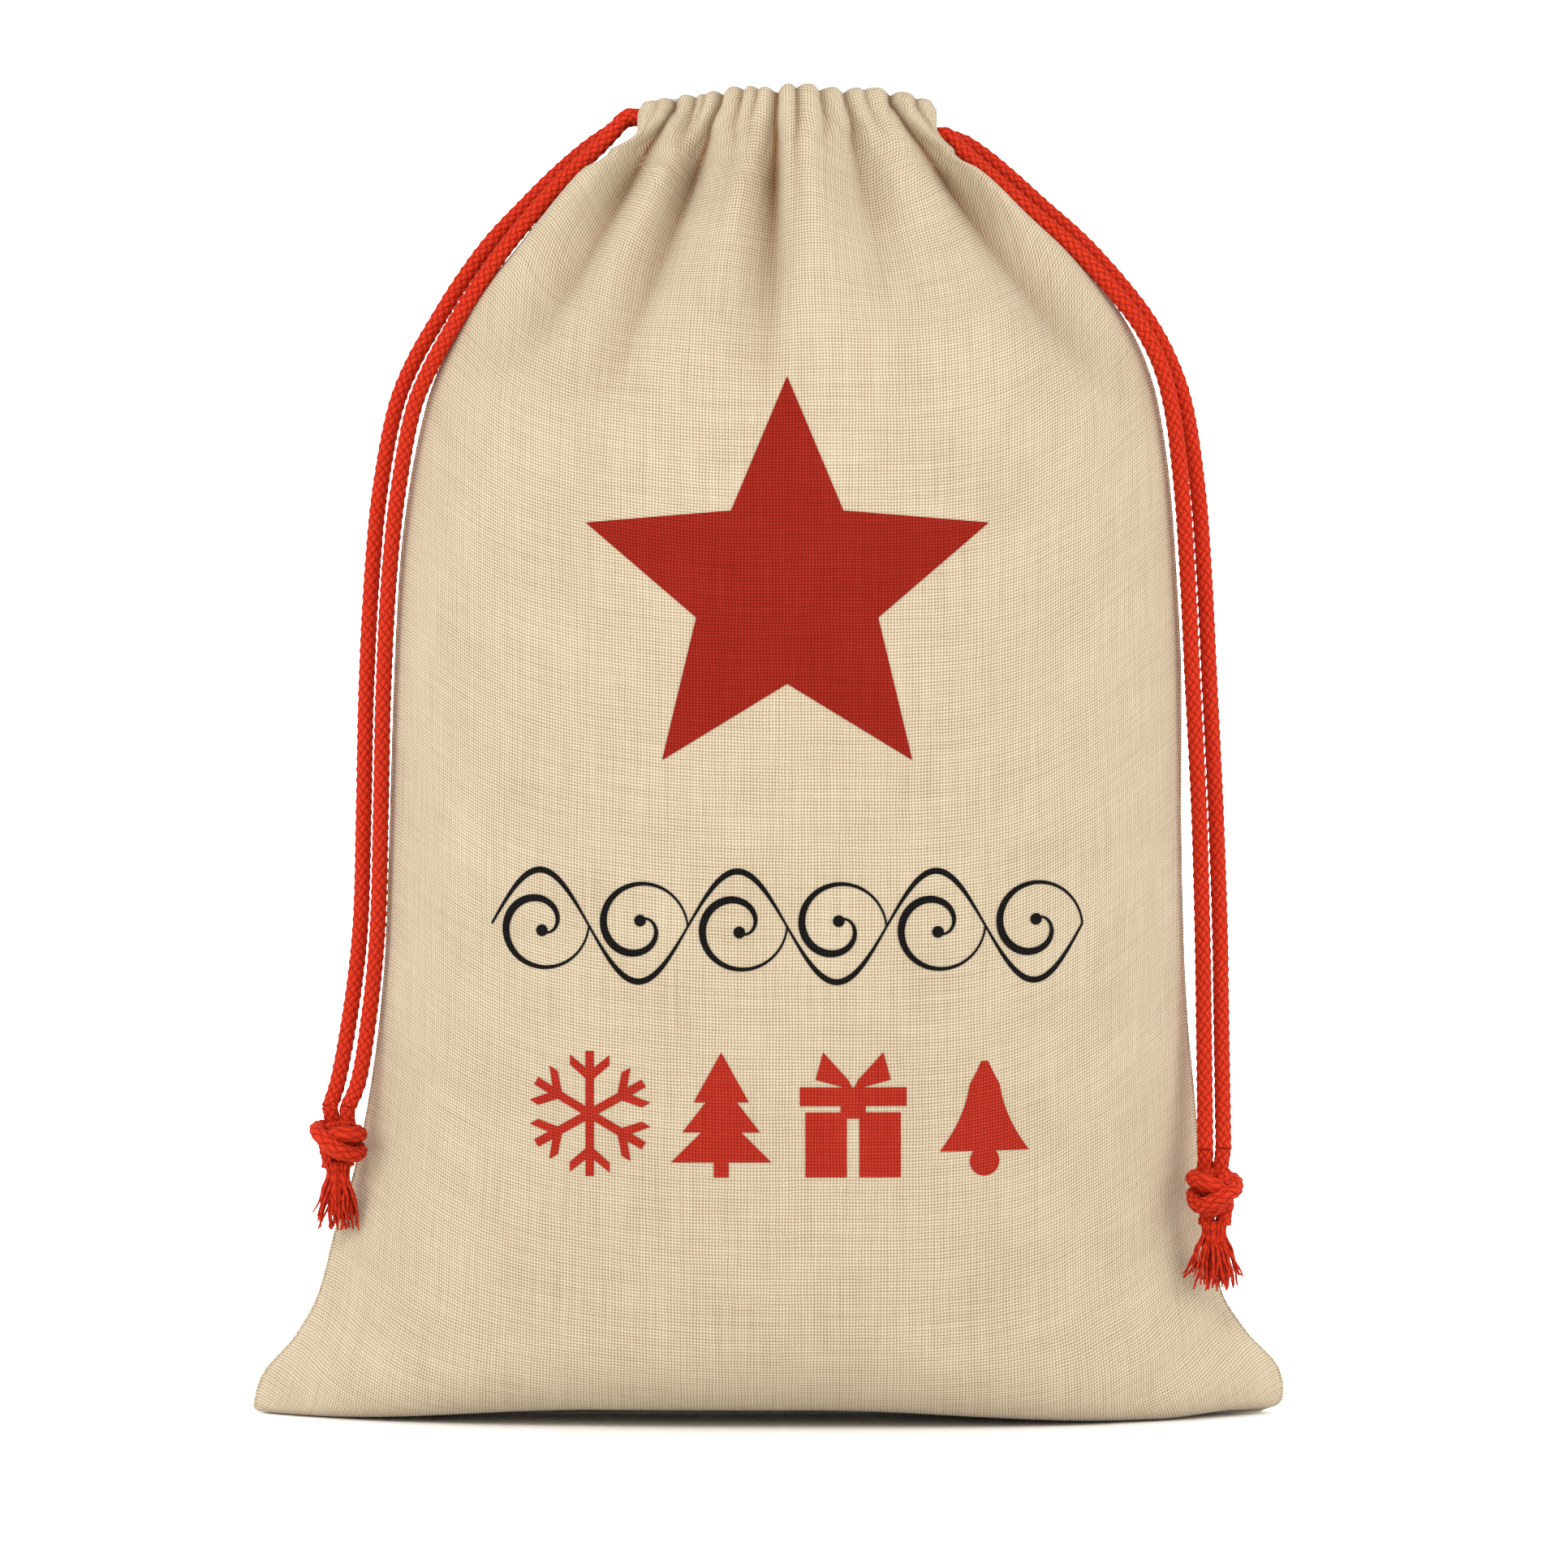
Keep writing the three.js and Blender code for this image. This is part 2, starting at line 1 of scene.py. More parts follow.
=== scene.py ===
"""A printed cloth gift sack with two red drawstrings, standing filled on a pale floor.

The sack is put together below in the order it is made: the drawstrings, their knots and tassels, the cloth
with its gathered hem, the seams, the printed inks, and then the floor and the light.
"""
import bpy
import math
import numpy as np
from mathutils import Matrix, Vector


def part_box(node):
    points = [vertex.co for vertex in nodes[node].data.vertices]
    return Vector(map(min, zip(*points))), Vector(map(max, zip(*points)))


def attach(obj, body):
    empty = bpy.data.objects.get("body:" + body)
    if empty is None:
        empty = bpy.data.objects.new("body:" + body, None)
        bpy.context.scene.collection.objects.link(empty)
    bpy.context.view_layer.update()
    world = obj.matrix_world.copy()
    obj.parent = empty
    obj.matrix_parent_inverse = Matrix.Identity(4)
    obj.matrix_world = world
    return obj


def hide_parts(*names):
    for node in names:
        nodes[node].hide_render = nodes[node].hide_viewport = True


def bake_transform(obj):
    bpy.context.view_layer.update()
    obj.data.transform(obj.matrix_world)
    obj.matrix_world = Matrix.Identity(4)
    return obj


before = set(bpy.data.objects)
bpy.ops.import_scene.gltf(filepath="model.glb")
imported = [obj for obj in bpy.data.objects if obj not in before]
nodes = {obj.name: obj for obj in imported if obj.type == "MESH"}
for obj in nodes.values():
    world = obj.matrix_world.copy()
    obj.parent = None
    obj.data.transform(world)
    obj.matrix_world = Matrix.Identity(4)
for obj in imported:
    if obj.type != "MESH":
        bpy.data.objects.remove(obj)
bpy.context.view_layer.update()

# ---------------------------------------------------------------- camera
# A long lens, a little above level, aimed at the middle of the sack's height.
camera_distance = 3.6
camera_rise = math.radians(1.4)
view_width = 0.7575
sensor_width = 36.0
aim = (0.0065, 0.0, 0.3045)
camera_data = bpy.data.cameras.new("camera")
camera_data.sensor_width = sensor_width
camera_data.lens = sensor_width * camera_distance / view_width
camera = bpy.data.objects.new("camera", camera_data)
camera.location = (aim[0], -camera_distance * math.cos(camera_rise),
                   aim[2] + camera_distance * math.sin(camera_rise))
camera.rotation_euler = (math.pi / 2 - camera_rise, 0.0, 0.0)
bpy.context.collection.objects.link(camera)
bpy.context.scene.camera = camera

# ---------------------------------------------------------------- drawstrings
# Each drawstring is soft 8 mm braided cotton, dyed scarlet. It runs round the neck inside the hem, and its
# two ends leave on the same side, hang down the side of the sack and are tied together.


def grid_piece(name, points, uv, ring=False, capped=False, flip=False):
    """A mesh on a grid of points; ring joins the last column to the first, capped closes both ends.

    Vertex (i, j) is points[i, j], and each face joins (i, j), (i, j+1), (i+1, j+1), (i+1, j).
    """
    rows, columns = points.shape[:2]
    index = np.arange(rows * columns).reshape(rows, columns)
    right = np.roll(index, -1, axis=1) if ring else index[:, 1:]
    left = index if ring else index[:, :-1]
    quads = np.stack([left[:-1], right[:-1], right[1:], left[1:]], axis=-1).reshape(-1, 4)
    if flip:
        quads = quads[:, ::-1]
    faces = quads.tolist()
    if capped:
        ends = [index[0][::-1].tolist(), index[-1].tolist()]
        faces += [end[::-1] for end in ends] if flip else ends
    mesh = bpy.data.meshes.new(name)
    mesh.from_pydata(points.reshape(-1, 3).tolist(), [], faces)
    layer = mesh.uv_layers.new(name="flat")
    corners = np.empty(len(mesh.loops), dtype=np.int64)
    mesh.loops.foreach_get("vertex_index", corners)
    flat = uv.reshape(-1, 2)[corners]
    if ring:
        turn = np.ptp(uv[..., 0]) * columns / (columns - 1)
        loops = np.arange(len(quads) * 4).reshape(-1, 4)
        wide = np.ptp(flat[loops][..., 0], axis=1) > turn / 2
        low = flat[loops][..., 0] < turn / 2
        flat[loops[wide[:, None] & low], 0] += turn
    layer.data.foreach_set("uv", flat.astype(np.float32).ravel())
    mesh.polygons.foreach_set("use_smooth", np.ones(len(mesh.polygons), dtype=bool))
    mesh.update()
    piece = bpy.data.objects.new(name, mesh)
    bpy.context.collection.objects.link(piece)
    return piece


def smooth_through(points, count):
    """Centripetal Catmull-Rom curve through the points, sampled at count places evenly along its length."""
    points = np.asarray(points, dtype=float)
    padded = np.vstack([2 * points[0] - points[1], points, 2 * points[-1] - points[-2]])
    steps = np.sqrt(np.linalg.norm(np.diff(padded, axis=0), axis=1))
    knots = np.concatenate([[0], np.cumsum(steps)])
    t = np.linspace(knots[1], knots[-2], 40 * len(points))
    k = np.clip(np.searchsorted(knots, t, side="right") - 1, 1, len(knots) - 3)
    t = t[:, None]
    t0, t1, t2, t3 = (knots[k + d][:, None] for d in (-1, 0, 1, 2))
    p0, p1, p2, p3 = (padded[k + d] for d in (-1, 0, 1, 2))
    a1 = (t1 - t) / (t1 - t0) * p0 + (t - t0) / (t1 - t0) * p1
    a2 = (t2 - t) / (t2 - t1) * p1 + (t - t1) / (t2 - t1) * p2
    a3 = (t3 - t) / (t3 - t2) * p2 + (t - t2) / (t3 - t2) * p3
    b1 = (t2 - t) / (t2 - t0) * a1 + (t - t0) / (t2 - t0) * a2
    b2 = (t3 - t) / (t3 - t1) * a2 + (t - t1) / (t3 - t1) * a3
    curve = (t2 - t) / (t2 - t1) * b1 + (t - t1) / (t2 - t1) * b2
    run = np.concatenate([[0], np.cumsum(np.linalg.norm(np.diff(curve, axis=0), axis=1))])
    even = np.linspace(0, run[-1], count)
    return np.stack([np.interp(even, run, curve[:, c]) for c in range(3)], axis=1), run[-1]


def ring_frames(line, first=(0.0, 1.0, 0.0)):
    """Two unit vectors across the line at each point: one kept near first, and the one square to it."""
    along = np.gradient(line, axis=0)
    along /= np.linalg.norm(along, axis=1)[:, None]
    across = np.array(first) - along * (along @ np.array(first))[:, None]
    across /= np.linalg.norm(across, axis=1)[:, None]
    return across, np.cross(along, across)


def braid_height(angle, run, plaits, pitch):
    """Relief of a round braid, 0 in its crevices and 1 on its crowns.

    Two families of yarns wind opposite ways; the one on top changes from one crossing to the next, and a
    yarn's height is a half sine across it, times a softer half sine along it.
    """
    a = plaits * angle / (2 * math.pi) + run / pitch
    b = plaits * angle / (2 * math.pi) - run / pitch
    over = (np.floor(a) + np.floor(b)) % 2 == 0
    crown_a = np.sin(math.pi * (a % 1))
    crown_b = np.sin(math.pi * (b % 1))
    return np.where(over, crown_a ** 0.55 * (0.55 + 0.45 * crown_b),
                    crown_b ** 0.55 * (0.55 + 0.45 * crown_a))


cord_diameter = 0.008
braid_plaits = 6
braid_pitch = 0.0052
braid_relief = 0.0009
braid_swell = 0.00015


def braided_tube(name, line, length, diameter=cord_diameter, sides=36, spacing=0.00075,
                 first=(0.0, 1.0, 0.0)):
    """Radius = half the diameter less the relief times (1 - braid height), carried along the line."""
    count = int(length / spacing)
    places = np.linspace(0, len(line) - 1, count)
    rings = np.stack([np.interp(places, np.arange(len(line)), line[:, c]) for c in range(3)], axis=1)
    across, up = ring_frames(rings, first)
    angle = np.linspace(0, 2 * math.pi, sides, endpoint=False)[None, :]
    run = np.linspace(0, length, count)[:, None]
    height = braid_height(angle, run, braid_plaits, braid_pitch)
    scale = diameter / cord_diameter
    radius = diameter / 2 + braid_swell - braid_relief * scale * (1 - height)
    outward = np.cos(angle)[..., None] * across[:, None] + np.sin(angle)[..., None] * up[:, None]
    points = rings[:, None] + radius[..., None] * outward
    uv = np.stack(np.broadcast_arrays(angle * diameter / 2, run), axis=-1)
    return grid_piece(name, points, uv, ring=True, capped=True), rings


def new_material(name):
    """An empty node material with its shader, ready for its own nodes."""
    material = bpy.data.materials.new(name)
    material.use_nodes = True
    tree = material.node_tree
    return material, tree.nodes, tree.links, tree.nodes["Principled BSDF"]


def math_node(n, link, operation, first, second=0.0):
    """One Math node fed by sockets or numbers; gives its output."""
    node = n.new("ShaderNodeMath")
    node.operation = operation
    for slot, value in zip(node.inputs, (first, second)):
        if isinstance(value, (int, float)):
            slot.default_value = value
        else:
            link.new(value, slot)
    return node.outputs[0]


def colour_ramp(n, link, factor, stops):
    """A colour ramp with the given (place, colour) stops."""
    ramp = n.new("ShaderNodeValToRGB")
    while len(ramp.color_ramp.elements) < len(stops):
        ramp.color_ramp.elements.new(0.5)
    for element, (place, colour) in zip(ramp.color_ramp.elements, stops):
        element.position = place
        element.color = (*colour, 1.0)
    link.new(factor, ramp.inputs[0])
    return ramp.outputs[0]


def cord_material():
    """Scarlet cotton: painted shade makes it darker and duller in the crevices of the braid, with fine fibres
    along the yarns.
    """
    material, n, link, shader = new_material("scarlet_cord")
    uv = n.new("ShaderNodeUVMap")
    uv.uv_map = "flat"
    split = n.new("ShaderNodeSeparateXYZ")
    link.new(uv.outputs[0], split.inputs[0])
    turn = math_node(n, link, "MULTIPLY", split.outputs[0], braid_plaits / (math.pi * cord_diameter))
    run = math_node(n, link, "MULTIPLY", split.outputs[1], 1 / braid_pitch)
    a = math_node(n, link, "ADD", turn, run)
    b = math_node(n, link, "SUBTRACT", turn, run)
    part = math_node(n, link, "ADD", math_node(n, link, "FLOOR", a), math_node(n, link, "FLOOR", b))
    over = math_node(n, link, "LESS_THAN", math_node(n, link, "FLOORED_MODULO", part, 2.0), 0.5)
    crown_a, crown_b = (
        math_node(n, link, "SINE", math_node(n, link, "MULTIPLY", math_node(n, link, "FRACT", way), math.pi))
        for way in (a, b))
    choose = n.new("ShaderNodeMix")
    link.new(over, choose.inputs[0])
    link.new(crown_b, choose.inputs[2])
    link.new(crown_a, choose.inputs[3])
    crown = choose.outputs[0]
    lie = n.new("ShaderNodeMix")
    link.new(over, lie.inputs[0])
    link.new(a, lie.inputs[2])
    link.new(b, lie.inputs[3])
    threads = n.new("ShaderNodeCombineXYZ")
    link.new(math_node(n, link, "MULTIPLY", lie.outputs[0], 1.2), threads.inputs[0])
    link.new(math_node(n, link, "MULTIPLY", crown, 5.0), threads.inputs[1])
    fibres = n.new("ShaderNodeTexNoise")
    fibres.inputs["Scale"].default_value = 2.2
    fibres.inputs["Detail"].default_value = 3.0
    link.new(threads.outputs[0], fibres.inputs["Vector"])
    place = n.new("ShaderNodeTexCoord")
    patch = n.new("ShaderNodeTexNoise")
    patch.inputs["Scale"].default_value = 900.0
    patch.inputs["Detail"].default_value = 4.0
    link.new(place.outputs["Object"], patch.inputs["Vector"])
    # Painted shade: the colour is darker in the braid's crevices than on its crowns, with random patches of
    # tone over it.
    shade = math_node(n, link, "ADD", math_node(n, link, "MULTIPLY", crown, 0.7),
                      math_node(n, link, "MULTIPLY", patch.outputs[0], 0.45))
    base = colour_ramp(n, link, shade, [(0.12, (0.15, 0.004, 0.002)), (0.5, (0.40, 0.015, 0.004)),
                                        (0.95, (0.56, 0.030, 0.008))])
    link.new(base, shader.inputs["Base Color"])
    shader.inputs["Roughness"].default_value = 0.72
    shader.inputs["Specular IOR Level"].default_value = 0.10
    shader.inputs["Sheen Weight"].default_value = 0.10
    shader.inputs["Sheen Roughness"].default_value = 0.5
    shader.inputs["Sheen Tint"].default_value = (1.0, 0.25, 0.12, 1.0)
    bump = n.new("ShaderNodeBump")
    bump.inputs["Distance"].default_value = 0.0005
    bump.inputs["Strength"].default_value = 0.7
    relief = math_node(n, link, "MULTIPLY", fibres.outputs[0], 0.6)
    relief = math_node(n, link, "ADD", relief, patch.outputs[0])
    link.new(relief, bump.inputs["Height"])
    link.new(bump.outputs[0], shader.inputs["Normal"])
    return material


scarlet = cord_material()

# Where each strand lies, in metres: from the hem's end over the shoulder and down to the knot.
strand_routes = {
    "left_front": [
        (-0.069, -0.009, 0.6255), (-0.0755, -0.009, 0.6185), (-0.0825, -0.009, 0.6112),
        (-0.09, -0.0085, 0.6043), (-0.101, -0.008, 0.594), (-0.114, -0.007, 0.5795),
        (-0.128, -0.006, 0.5625), (-0.1415, -0.0055, 0.5435), (-0.1535, -0.0055, 0.524),
        (-0.164, -0.0055, 0.505), (-0.1718, -0.0055, 0.486), (-0.1792, -0.0055, 0.4475),
        (-0.1835, -0.0055, 0.409), (-0.1867, -0.005, 0.35), (-0.188, -0.005, 0.292),
        (-0.1898, -0.0045, 0.233), (-0.1936, -0.0055, 0.194), (-0.199, -0.012, 0.16),
        (-0.2036, -0.0166, 0.149)],
    "left_back": [
        (-0.069, 0.009, 0.6255), (-0.078, 0.0088, 0.619), (-0.088, 0.0078, 0.612), (-0.104, 0.005, 0.598),
        (-0.118, 0.004, 0.584), (-0.1345, 0.003, 0.5665), (-0.1487, 0.003, 0.5475), (-0.161, 0.003, 0.528),
        (-0.1724, 0.003, 0.508), (-0.1805, 0.003, 0.488), (-0.1883, 0.003, 0.4485),
        (-0.1923, 0.003, 0.409), (-0.1954, 0.003, 0.35), (-0.1967, 0.003, 0.292), (-0.1986, 0.003, 0.233),
        (-0.203, 0.001, 0.195), (-0.209, -0.0085, 0.16), (-0.2124, -0.014, 0.149)],
    "right_front": [
        (0.085, -0.009, 0.6165), (0.0915, -0.009, 0.6098), (0.1015, -0.009, 0.601),
        (0.113, -0.009, 0.5908), (0.128, -0.0085, 0.5778), (0.147, -0.008, 0.5615),
        (0.164, -0.0075, 0.5435), (0.178, -0.007, 0.5255), (0.1875, -0.0065, 0.507),
        (0.193, -0.006, 0.487), (0.198, -0.006, 0.448), (0.2008, -0.006, 0.409), (0.2037, -0.006, 0.35),
        (0.2067, -0.006, 0.292), (0.2084, -0.0065, 0.233), (0.2088, -0.011, 0.194),
        (0.2088, -0.021, 0.155), (0.2086, -0.0299, 0.1296)],
    "right_back": [
        (0.085, 0.009, 0.6165), (0.092, 0.0085, 0.615), (0.103, 0.0075, 0.608), (0.115, 0.006, 0.598),
        (0.131, 0.0045, 0.5835), (0.15, 0.003, 0.5665), (0.1675, 0.0025, 0.5475), (0.1825, 0.0025, 0.528),
        (0.193, 0.0025, 0.5085), (0.2, 0.0025, 0.488), (0.2062, 0.0025, 0.448), (0.2093, 0.0025, 0.409),
        (0.2123, 0.002, 0.35), (0.2152, 0.0015, 0.292), (0.2172, 0.0, 0.233), (0.2176, -0.005, 0.194),
        (0.2176, -0.017, 0.155), (0.2174, -0.0281, 0.1296)],
}
hidden_length = 0.027
strand_steps = 900
strands = {}
for place_name, route in strand_routes.items():
    side = -1 if place_name.startswith("left") else 1
    x, y, z = route[0]
    inside = [(x - side * hidden_length * share, y, z) for share in (1.0, 0.66, 0.33)]
    line, length = smooth_through(inside + route, strand_steps)
    strand, rings = braided_tube(f"drawstring_{place_name}", line, length)
    strand.data.materials.append(scarlet)
    strands[place_name] = (strand, rings, length)

# Inside the hem each drawstring runs all round the neck, and turns from the front half to the back half.
neck_low, neck_high = (np.array(corner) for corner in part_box("casing_front"))
neck_x = (neck_low[0] + neck_high[0]) / 2
neck_half = (neck_high[0] - neck_low[0]) / 2
neck_straight = 0.050
neck_end_y = 0.009
neck_bow = 0.020
hem_run_steps = 23
hem_turn_steps = 7
hem_line_steps = 700
turn_x = neck_half - neck_end_y - cord_diameter / 2 - 0.0005


def neck_line(across):
    """Distance from the middle plane to the cord channel: level at its ends, bowed out between them."""
    bow = neck_bow * np.cos(np.pi * np.clip(across / neck_straight, -1, 1) / 2) ** 2
    return neck_end_y + bow


for side_name, side in (("left", -1), ("right", 1)):
    z = strand_routes[f"{side_name}_front"][0][2]
    across = side * np.linspace(neck_straight - 0.0008, -turn_x, hem_run_steps)
    front = np.stack([neck_x + across, -neck_line(across), np.full(hem_run_steps, z)], axis=-1)
    angle = np.linspace(0, math.pi, hem_turn_steps + 2)[1:-1]
    bend = np.stack([neck_x - side * (turn_x + neck_end_y * np.sin(angle)), -neck_end_y * np.cos(angle),
                     np.full(hem_turn_steps, z)], axis=-1)
    loop = np.concatenate([front, bend, front[::-1] * (1, -1, 1)])
    line, length = smooth_through(loop, hem_line_steps)
    inner, _ = braided_tube(f"drawstring_{side_name}_in_hem", line, length, sides=24, spacing=0.0012,
                            first=(0, 0, 1))
    inner.data.materials.append(scarlet)
    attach(inner, "sack")
    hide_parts(f"cord_{side_name}_in_casing")

# ---------------------------------------------------------------- knots
# The two ends of each drawstring are tied together in one overhand knot, pulled tight: the pair goes down
# behind, round the front from lower left to upper right, round the back and down through its own loop.
# The middle of the pair is given in millimetres from the middle of the knot.
knot_route = [
    (0.0, 0.8, 18.5), (-0.4, 2.2, 13.5), (-1.2, 4.0, 9.0), (-4.5, 5.2, 3.0), (-8.6, 2.0, -3.2),
    (-6.2, -5.0, -6.6), (1.0, -8.6, -4.0), (7.4, -5.8, 1.6), (8.4, 1.2, 5.6), (2.4, 6.4, 6.8),
    (-5.8, 4.4, 6.2), (-8.8, -2.2, 4.6), (-4.4, -6.6, 3.6), (1.4, -4.2, 0.4), (2.4, 0.6, -5.0),
    (0.8, 0.6, -10.0), (0.0, 0.0, -14.5)]
knot_lean = (0.35, 0.25, 0.9)
knot_cord = 0.0078
knot_steps = 400
knot_ease = 90
pair_apart = 0.0029
pair_apart_outside = np.array([0.0043, 0.0, 0.0])


def joined(name, pieces):
    """Several meshes made into one piece."""
    with bpy.context.temp_override(active_object=pieces[0], selected_editable_objects=pieces):
        bpy.ops.object.join()
    pieces[0].name = name
    return pieces[0]


knots = {}
for side_name, tilt, tall in (("left", -1.0, 1.0), ("right", 1.0, 1.24)):
    low, high = (np.array(corner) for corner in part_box(f"knot_{side_name}"))
    middle = (low + high) / 2
    tubes = []
    for strand_number, apart in enumerate((-1.0, 1.0)):
        route = np.array(knot_route) * (0.86 * tilt, 0.88, 0.9 * tall) / 1000
        line, length = smooth_through(route, knot_steps)
        _, up = ring_frames(line, knot_lean)
        steps = np.arange(knot_steps)
        ease = np.clip(np.minimum(steps, steps[::-1]) / knot_ease, 0, 1)[:, None]
        line = line + apart * (pair_apart * up * ease + (1 - ease) * pair_apart_outside) + middle
        tube, _ = braided_tube(f"knot_{side_name}_{strand_number + 1}", line, length, diameter=knot_cord,
                               first=knot_lean)
        tube.data.materials.append(scarlet)
        tubes.append(tube)
    knots[side_name] = joined(f"knot_tied_{side_name}", tubes)
    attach(knots[side_name], f"{side_name}_cord")
    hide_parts(f"knot_{side_name}")

# ---------------------------------------------------------------- tassels
# Below each knot the cord's ends are left raw and have come apart into their yarns, which curl a little.
yarn_count = 54
yarn_steps = 14
yarn_sides = 6
yarn_radius = 0.00085
yarn_ring = 0.0068
yarn_waist = 0.0022
yarn_curl = 0.0013
yarn_bend = 0.0022
golden_turn = 2.39996


def tassel(name, top, drop, splay, seed):
    """Yarns as thin tubes, spread over a disc; each drifts outwards with a power of the way down."""
    chance = np.random.default_rng(seed)
    turn = np.arange(yarn_count) * golden_turn
    share = np.sqrt((np.arange(yarn_count) + 0.5) / yarn_count)
    down = np.linspace(0, 1, yarn_steps)[:, None]
    waist = yarn_waist * np.sin(math.pi * np.clip(down / 0.5, 0, 1))
    reach = share * (yarn_ring - waist + (splay - yarn_ring) * down ** 1.7)
    length = drop * (0.82 + 0.3 * chance.random(yarn_count))
    turns = down * chance.uniform(3, 9, yarn_count) + chance.uniform(0, 6, yarn_count)
    curl = yarn_curl * np.sin(turns) * down
    bend = yarn_bend * chance.standard_normal(yarn_count) * down ** 2
    x = top[0] + reach * np.cos(turn) + curl + bend
    y = top[1] + 0.7 * reach * np.sin(turn) + np.roll(curl, 7, axis=1)
    z = top[2] - length * down
    lines = np.stack([x, y, z], axis=-1)
    angle = np.linspace(0, 2 * math.pi, yarn_sides, endpoint=False)
    thick = yarn_radius * (1 - 0.5 * down ** 3)
    ring = np.stack([np.cos(angle), np.sin(angle), np.zeros(yarn_sides)], axis=-1)
    pieces = []
    for k in range(yarn_count):
        points = lines[:, k][:, None] + thick[:, :, None] * ring[None]
        uv = np.stack(np.meshgrid(angle * 0.001, down[:, 0] * drop), axis=-1)
        pieces.append(grid_piece(f"{name}_{k}", points, uv, ring=True, capped=True, flip=True))
    return joined(name, pieces)


tassels = {}
for side_name, seed, spread_out in (("left", 4, 1.0), ("right", 9, 1.25)):
    low, high = (np.array(corner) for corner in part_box(f"tassel_{side_name}"))
    top = np.array([(low[0] + high[0]) / 2, (low[1] + high[1]) / 2, high[2] + 0.004])
    splay = (high[0] - low[0]) / 2 * spread_out
    tassels[side_name] = tassel(f"tassel_yarns_{side_name}", top, high[2] - low[2] + 0.003, splay, seed)
    tassels[side_name].data.materials.append(scarlet)
    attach(tassels[side_name], f"{side_name}_cord")
    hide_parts(f"tassel_{side_name}")

# Each strand's place is baked into its mesh, and the model's own cord and lead for it are hidden.
for side_name, outward in (("left", -1), ("right", 1)):
    for end in ("front", "back"):
        strand, rings, length = strands[f"{side_name}_{end}"]
        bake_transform(strand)
        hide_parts(f"cord_{side_name}_{end}", f"cord_{side_name}_lead_{end}")

# ---------------------------------------------------------------- cloth
# Two panels of natural cotton-linen, 500 by 700 mm, sewn inside out at the sides and the bottom and turned.
# Each ends in a folded hem, which is the channel for the drawstrings and gathers the cloth into pleats.
panel_low, panel_high = (np.array(corner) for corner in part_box("front_panel"))
hem_foot = neck_low[2]
top_z = neck_high[2]
panel_wall_half = 0.001
body_depth = -panel_low[1] - panel_wall_half
cloth_thick = 0.0008
cloth_foot = 0.0006
columns = 176
wall_rows = 216
hem_rows = 30

# Heights as shares of the whole, then the left and right half widths as shares of the base's.
outline = np.array([
    (0, 1.005, 0.995), (0.013, 1.0, 1.0), (0.028, 0.988, 0.992), (0.058, 0.926, 0.926),
    (0.09, 0.882, 0.876), (0.144, 0.846, 0.847), (0.18, 0.816, 0.835), (0.243, 0.784, 0.820),
    (0.3, 0.765, 0.806), (0.36, 0.753, 0.798), (0.456, 0.745, 0.793), (0.548, 0.738, 0.793),
    (0.64, 0.726, 0.782), (0.7, 0.708, 0.770), (0.762, 0.676, 0.746), (0.793, 0.648, 0.722),
    (0.825, 0.609, 0.680), (0.85, 0.567, 0.630), (0.877, 0.512, 0.566), (0.905, 0.458, 0.484),
    (0.929, 0.408, 0.418), (0.943, 0.374, 0.372), (0.953, 0.346, 0.338)])
# Shares of the height up to the hem, of the half depth, and of the width.
section = np.array([
    (0, 0, 0.955), (0, 0.33, 0.97), (0, 0.57, 0.985), (0.005, 0.72, 1), (0.018, 0.82, 1), (0.05, 0.9, 1),
    (0.12, 0.945, 1), (0.23, 0.98, 1), (0.36, 1, 1), (0.5, 0.98, 1), (0.63, 0.93, 1), (0.738, 0.857, 1),
    (0.815, 0.76, 1), (0.88, 0.64, 1), (0.93, 0.51, 1), (0.97, 0.41, 1), (1, 0.33, 1)])


def smooth_between(keys, values, at):
    """Cubic curve through (keys, values) with slopes that never overshoot, read at the given places."""
    steps = np.diff(keys)
    slopes = np.diff(values) / steps
    middle = np.where(slopes[:-1] * slopes[1:] > 0,
                      2 * slopes[:-1] * slopes[1:] / (slopes[:-1] + slopes[1:] + 1e-12), 0.0)
    tangents = np.concatenate([[slopes[0]], middle, [slopes[-1]]])
    k = np.clip(np.searchsorted(keys, at, side="right") - 1, 0, len(steps) - 1)
    t = np.clip((at - keys[k]) / steps[k], 0, 1)
    return ((2 * t ** 3 - 3 * t ** 2 + 1) * values[k] + (t ** 3 - 2 * t ** 2 + t) * steps[k] * tangents[k]
            + (3 * t ** 2 - 2 * t ** 3) * values[k + 1] + (t ** 3 - t ** 2) * steps[k] * tangents[k + 1])


def smooth_step(value, low, high):
    """0 below low, 1 above high, and a smooth S between."""
    t = np.clip((value - low) / (high - low), 0, 1)
    return t * t * (3 - 2 * t)


left_half = -panel_low[0] - panel_wall_half + neck_x
right_half = panel_high[0] - panel_wall_half - neck_x
left_flare = 0.013
right_flare = 0.008


def half_widths(z):
    """Left and right half widths of the filled sack at height z."""
    close = smooth_step(z, hem_foot - 0.010, hem_foot)
    left = left_half * smooth_between(outline[:, 0], outline[:, 1], z / top_z)
    right = right_half * smooth_between(outline[:, 0], outline[:, 2], z / top_z)
    return left + close * (neck_half + left_flare - left), right + close * (neck_half + right_flare - right)


def spread(u):
    """Where column u lies across the width: closer together towards the seams."""
    return u * (1.3 - 0.3 * u ** 2)


